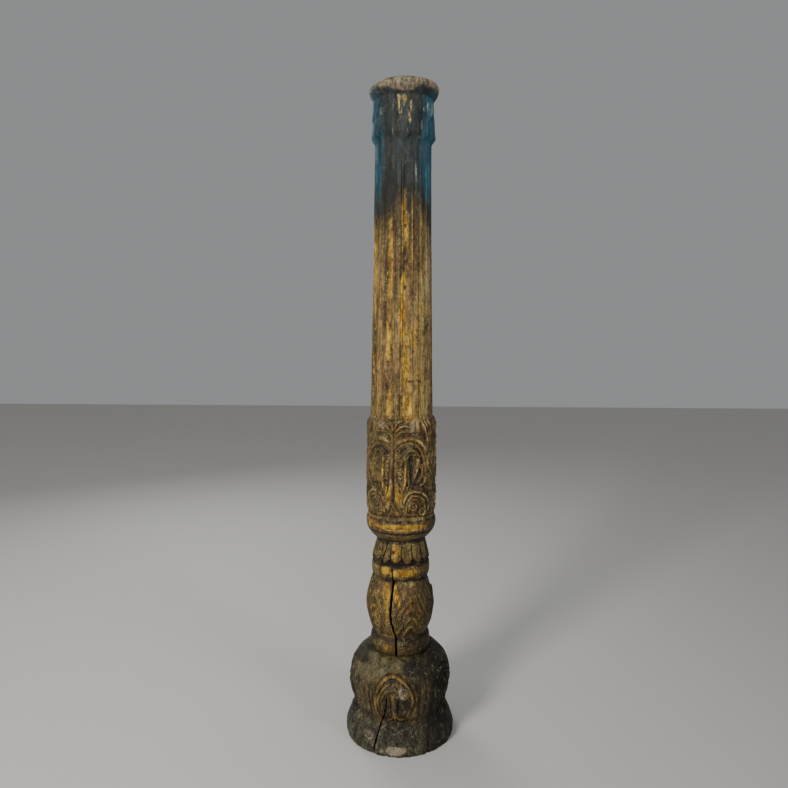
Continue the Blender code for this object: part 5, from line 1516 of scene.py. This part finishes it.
def makeBaseMaterial():
    f = baseFinish
    p = baseNoises
    material, tree, shader, place = startMaterial("dustyOldWood")
    close = mapped(tree, place, "Scale", (1, 1, 4))
    fibre = useGroup(tree, woodFibre, {"Place": close})
    wear = useGroup(tree, ridgeWearAndLight, {"Face": field(tree, "face"), "Deep": field(tree, "deep"),
                                      "Place": place})
    grains = useGroup(tree, grit, {"Place": place})
    patchy = stretched(tree, place, 0.4, 24, 5, 0.65, 0.3)
    colour = cover(tree, fibre["Streak"], f["woodDark"], f["woodLight"])
    colour = lay(tree, colour, ramp(tree, patchy, 0.46, 0.62), 0.5, f["olive"])
    browned = plus(tree, times(tree, field(tree, "deep"), 0.9), field(tree, "face"), True)
    colour = lay(tree, colour, browned, 0.70, f["brown"])
    colour = tinted(tree, place, colour, f["brown"], f["olive"])
    footing = cover(tree, cutNoise(tree, place, p["footing"]),
                    f["footDark"], f["footLight"])
    colour = lay(tree, colour, field(tree, "foot"), 0.85, footing)
    # rubbed ridges, partly a painted highlight
    colour = lay(tree, colour, wear["Worn"], 0.45, f["rubbedAndLit"])
    gilt = cover(tree, cutNoise(tree, place, p["giltTone"]), f["gold"], f["goldPale"])
    giltMask = ragged(tree, close, field(tree, "gold"), 0.35, 0.9)
    colour = lay(tree, colour, giltMask, 0.70, gilt)
    mottled = cutNoise(tree, place, p["mottled"])
    colour = lay(tree, colour, mottled, 0.74, f["woodDark"])
    # painted highlight, with wear: pale gold on the tops of the ridges
    ridgeHighlight = stretched(tree, place, 0.7, 150, 4, 0.75)
    ridgeHighlight = ramp(tree, plus(tree, field(tree, "face"), ridgeHighlight), 1.34, 1.58)
    colour = lay(tree, colour, ridgeHighlight, 0.5, f["goldPale"])
    colour = lay(tree, colour, grains["Dark"], 0.76, f["woodDark"])
    colour = lay(tree, colour, grains["Light"], 0.36, f["dust"])
    # grime with painted shade in cuts, recesses and hollows
    colour = lay(tree, colour, wear["GrimeAndShade"], 0.80, f["grimeAndShade"])
    # stains, and painted shade on the base's right-hand side
    stainedAndShaded = ragged(tree, close, field(tree, "stainAndShade"), 0.35, 1.1)
    colour = lay(tree, colour, stainedAndShaded, 0.86, f["grimeAndShade"])
    dusty = ragged(tree, place, times(tree, field(tree, "dust"), 0.55), 0.3, 1.0)
    dusty = times(tree, dusty, minus(tree, 1.0, stainedAndShaded))
    colour = lay(tree, colour, dusty, 0.34, f["dust"])
    blotched = cutNoise(tree, place, p["blotched"])
    colour = lay(tree, colour, blotched, 0.72, f["grimeAndShade"])
    glints = cutNoise(tree, place, p["glints"])
    glints = times(tree, glints, without(tree, stainedAndShaded, 0.7))
    colour = lay(tree, colour, glints, 0.62, f["dust"])
    paleMask = ragged(tree, close, field(tree, "pale"), 0.35, 1.3)
    colour = lay(tree, colour, paleMask, 0.74, f["pale"])
    chips = speckle(tree, place, 240, 0.34)
    colour = lay(tree, colour, chips, 0.5, f["grimeAndShade"])
    beside = mapped(tree, place, "Location", (3, 1, 2))
    flecks = speckle(tree, beside, 300, 0.28)
    colour = lay(tree, colour, flecks, 0.40, f["dust"])
    colour = cover(tree, ramp(tree, field(tree, "crack"), 0.05, 0.5), colour, f["crack"])
    tree.links.new(colour, shader.inputs["Base Color"])
    shader.inputs["Specular IOR Level"].default_value = f["sheen"]
    rough = plus(tree, f["woodRough"], times(tree, minus(tree, patchy, 0.5), 0.4))
    rough = plus(tree, rough, times(tree, dusty, 0.15))
    rough = plus(tree, rough, times(tree, stainedAndShaded, 0.20), True)
    tree.links.new(rough, shader.inputs["Roughness"])
    height = plus(tree, times(tree, fibre["Height"], 0.8), times(tree, giltMask, 0.25))
    height = minus(tree, height, times(tree, chips, 0.5))
    height = plus(tree, height, times(tree, stretched(tree, place, 0.6, 75, 6, 0.75), 1.6))
    bump = addNode(tree, "ShaderNodeBump", None, {"Strength": f["bump"], "Distance": f["bumpDistance"],
                                                  "Height": height})
    tree.links.new(bump.outputs["Normal"], shader.inputs["Normal"])
    return material


def plainMaterial(name, colour):
    material, tree, shader, place = startMaterial(name)
    tone = cover(tree, stretched(tree, place, 1, 3, 4, 0.5), (*[c * 0.97 for c in colour], 1), (*colour, 1))
    tree.links.new(tone, shader.inputs["Base Color"])
    shader.inputs["Roughness"].default_value = 0.7
    return material


logPiece.data.materials.append(makeLogMaterial())
basePiece.data.materials.append(makeBaseMaterial())
print("finishes made")

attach(logPiece, "root")
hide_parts("shaft")
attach(basePiece, "root")
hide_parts("base")


# floor, light and camera

studio = {"floorSize": 14, "floorColour": (0.62, 0.60, 0.57), "worldColour": (0.60, 0.61, 0.62),
          "worldStrength": 0.46}


def makeFloor():
    bpy.ops.object.select_all(action="DESELECT")
    bpy.ops.mesh.primitive_plane_add(size=studio["floorSize"], location=(0, 2, 0))
    floor = bpy.context.active_object
    floor.name = "studioFloor"
    bpy.ops.object.transform_apply(location=True, rotation=True, scale=True)
    floor.data.materials.append(plainMaterial("paleFloor", studio["floorColour"]))


def softLight(name, place, aim, size, power, colour, spread=180):
    lamp = bpy.data.lights.new(name, "AREA")
    lamp.shape = "RECTANGLE"
    lamp.size = size[0]
    lamp.size_y = size[1]
    lamp.energy = power
    lamp.spread = math.radians(spread)
    lamp.color = colour
    holder = bpy.data.objects.new(name, lamp)
    bpy.context.scene.collection.objects.link(holder)
    holder.location = place
    direction = np.array(aim, float) - np.array(place, float)
    flat = math.hypot(direction[0], direction[1])
    holder.rotation_euler = (math.atan2(flat, -direction[2]), 0, math.atan2(-direction[0], direction[1]))


def makeStudio():
    makeFloor()
    softLight("keyLight", (-2.1, -3.0, 2.6), (0, 0, 0.9), (0.9, 1.6), 135, (1.0, 0.97, 0.93))
    softLight("fillLight", (2.6, -2.2, 2.9), (0, 0, 1.8), (1.2, 1.2), 8.5, (0.90, 0.95, 1.0), 70)
    softLight("rimLight", (-1.6, 2.6, 2.6), (0, 0, 1.2), (1.6, 1.6), 40, (0.95, 0.98, 1.0))
    world = bpy.data.worlds.new("paleRoom")
    world.use_nodes = True
    sky = world.node_tree.nodes["Background"]
    sky.inputs["Color"].default_value = (*studio["worldColour"], 1)
    sky.inputs["Strength"].default_value = studio["worldStrength"]
    bpy.context.scene.world = world


def makeCamera():
    v = photoView
    lens = bpy.data.cameras.new("photoCamera")
    lens.sensor_width = v["sensorWidth"]
    lens.sensor_fit = "HORIZONTAL"
    lens.lens = v["focalPixels"] / v["imageWidth"] * v["sensorWidth"]
    lens.clip_start = 0.05
    camera = bpy.data.objects.new("photoCamera", lens)
    bpy.context.scene.collection.objects.link(camera)
    camera.location = (0, -v["distance"], v["height"])
    turned = Matrix.Rotation(math.radians(v["turnLeft"]), 3, "Z")
    tilted = Matrix.Rotation(math.radians(90 - v["tiltDown"]), 3, "X")
    rolled = Matrix.Rotation(math.radians(v["lean"]), 3, "Z")
    camera.rotation_euler = (turned @ tilted @ rolled).to_euler()
    bpy.context.scene.camera = camera


makeStudio()
makeCamera()
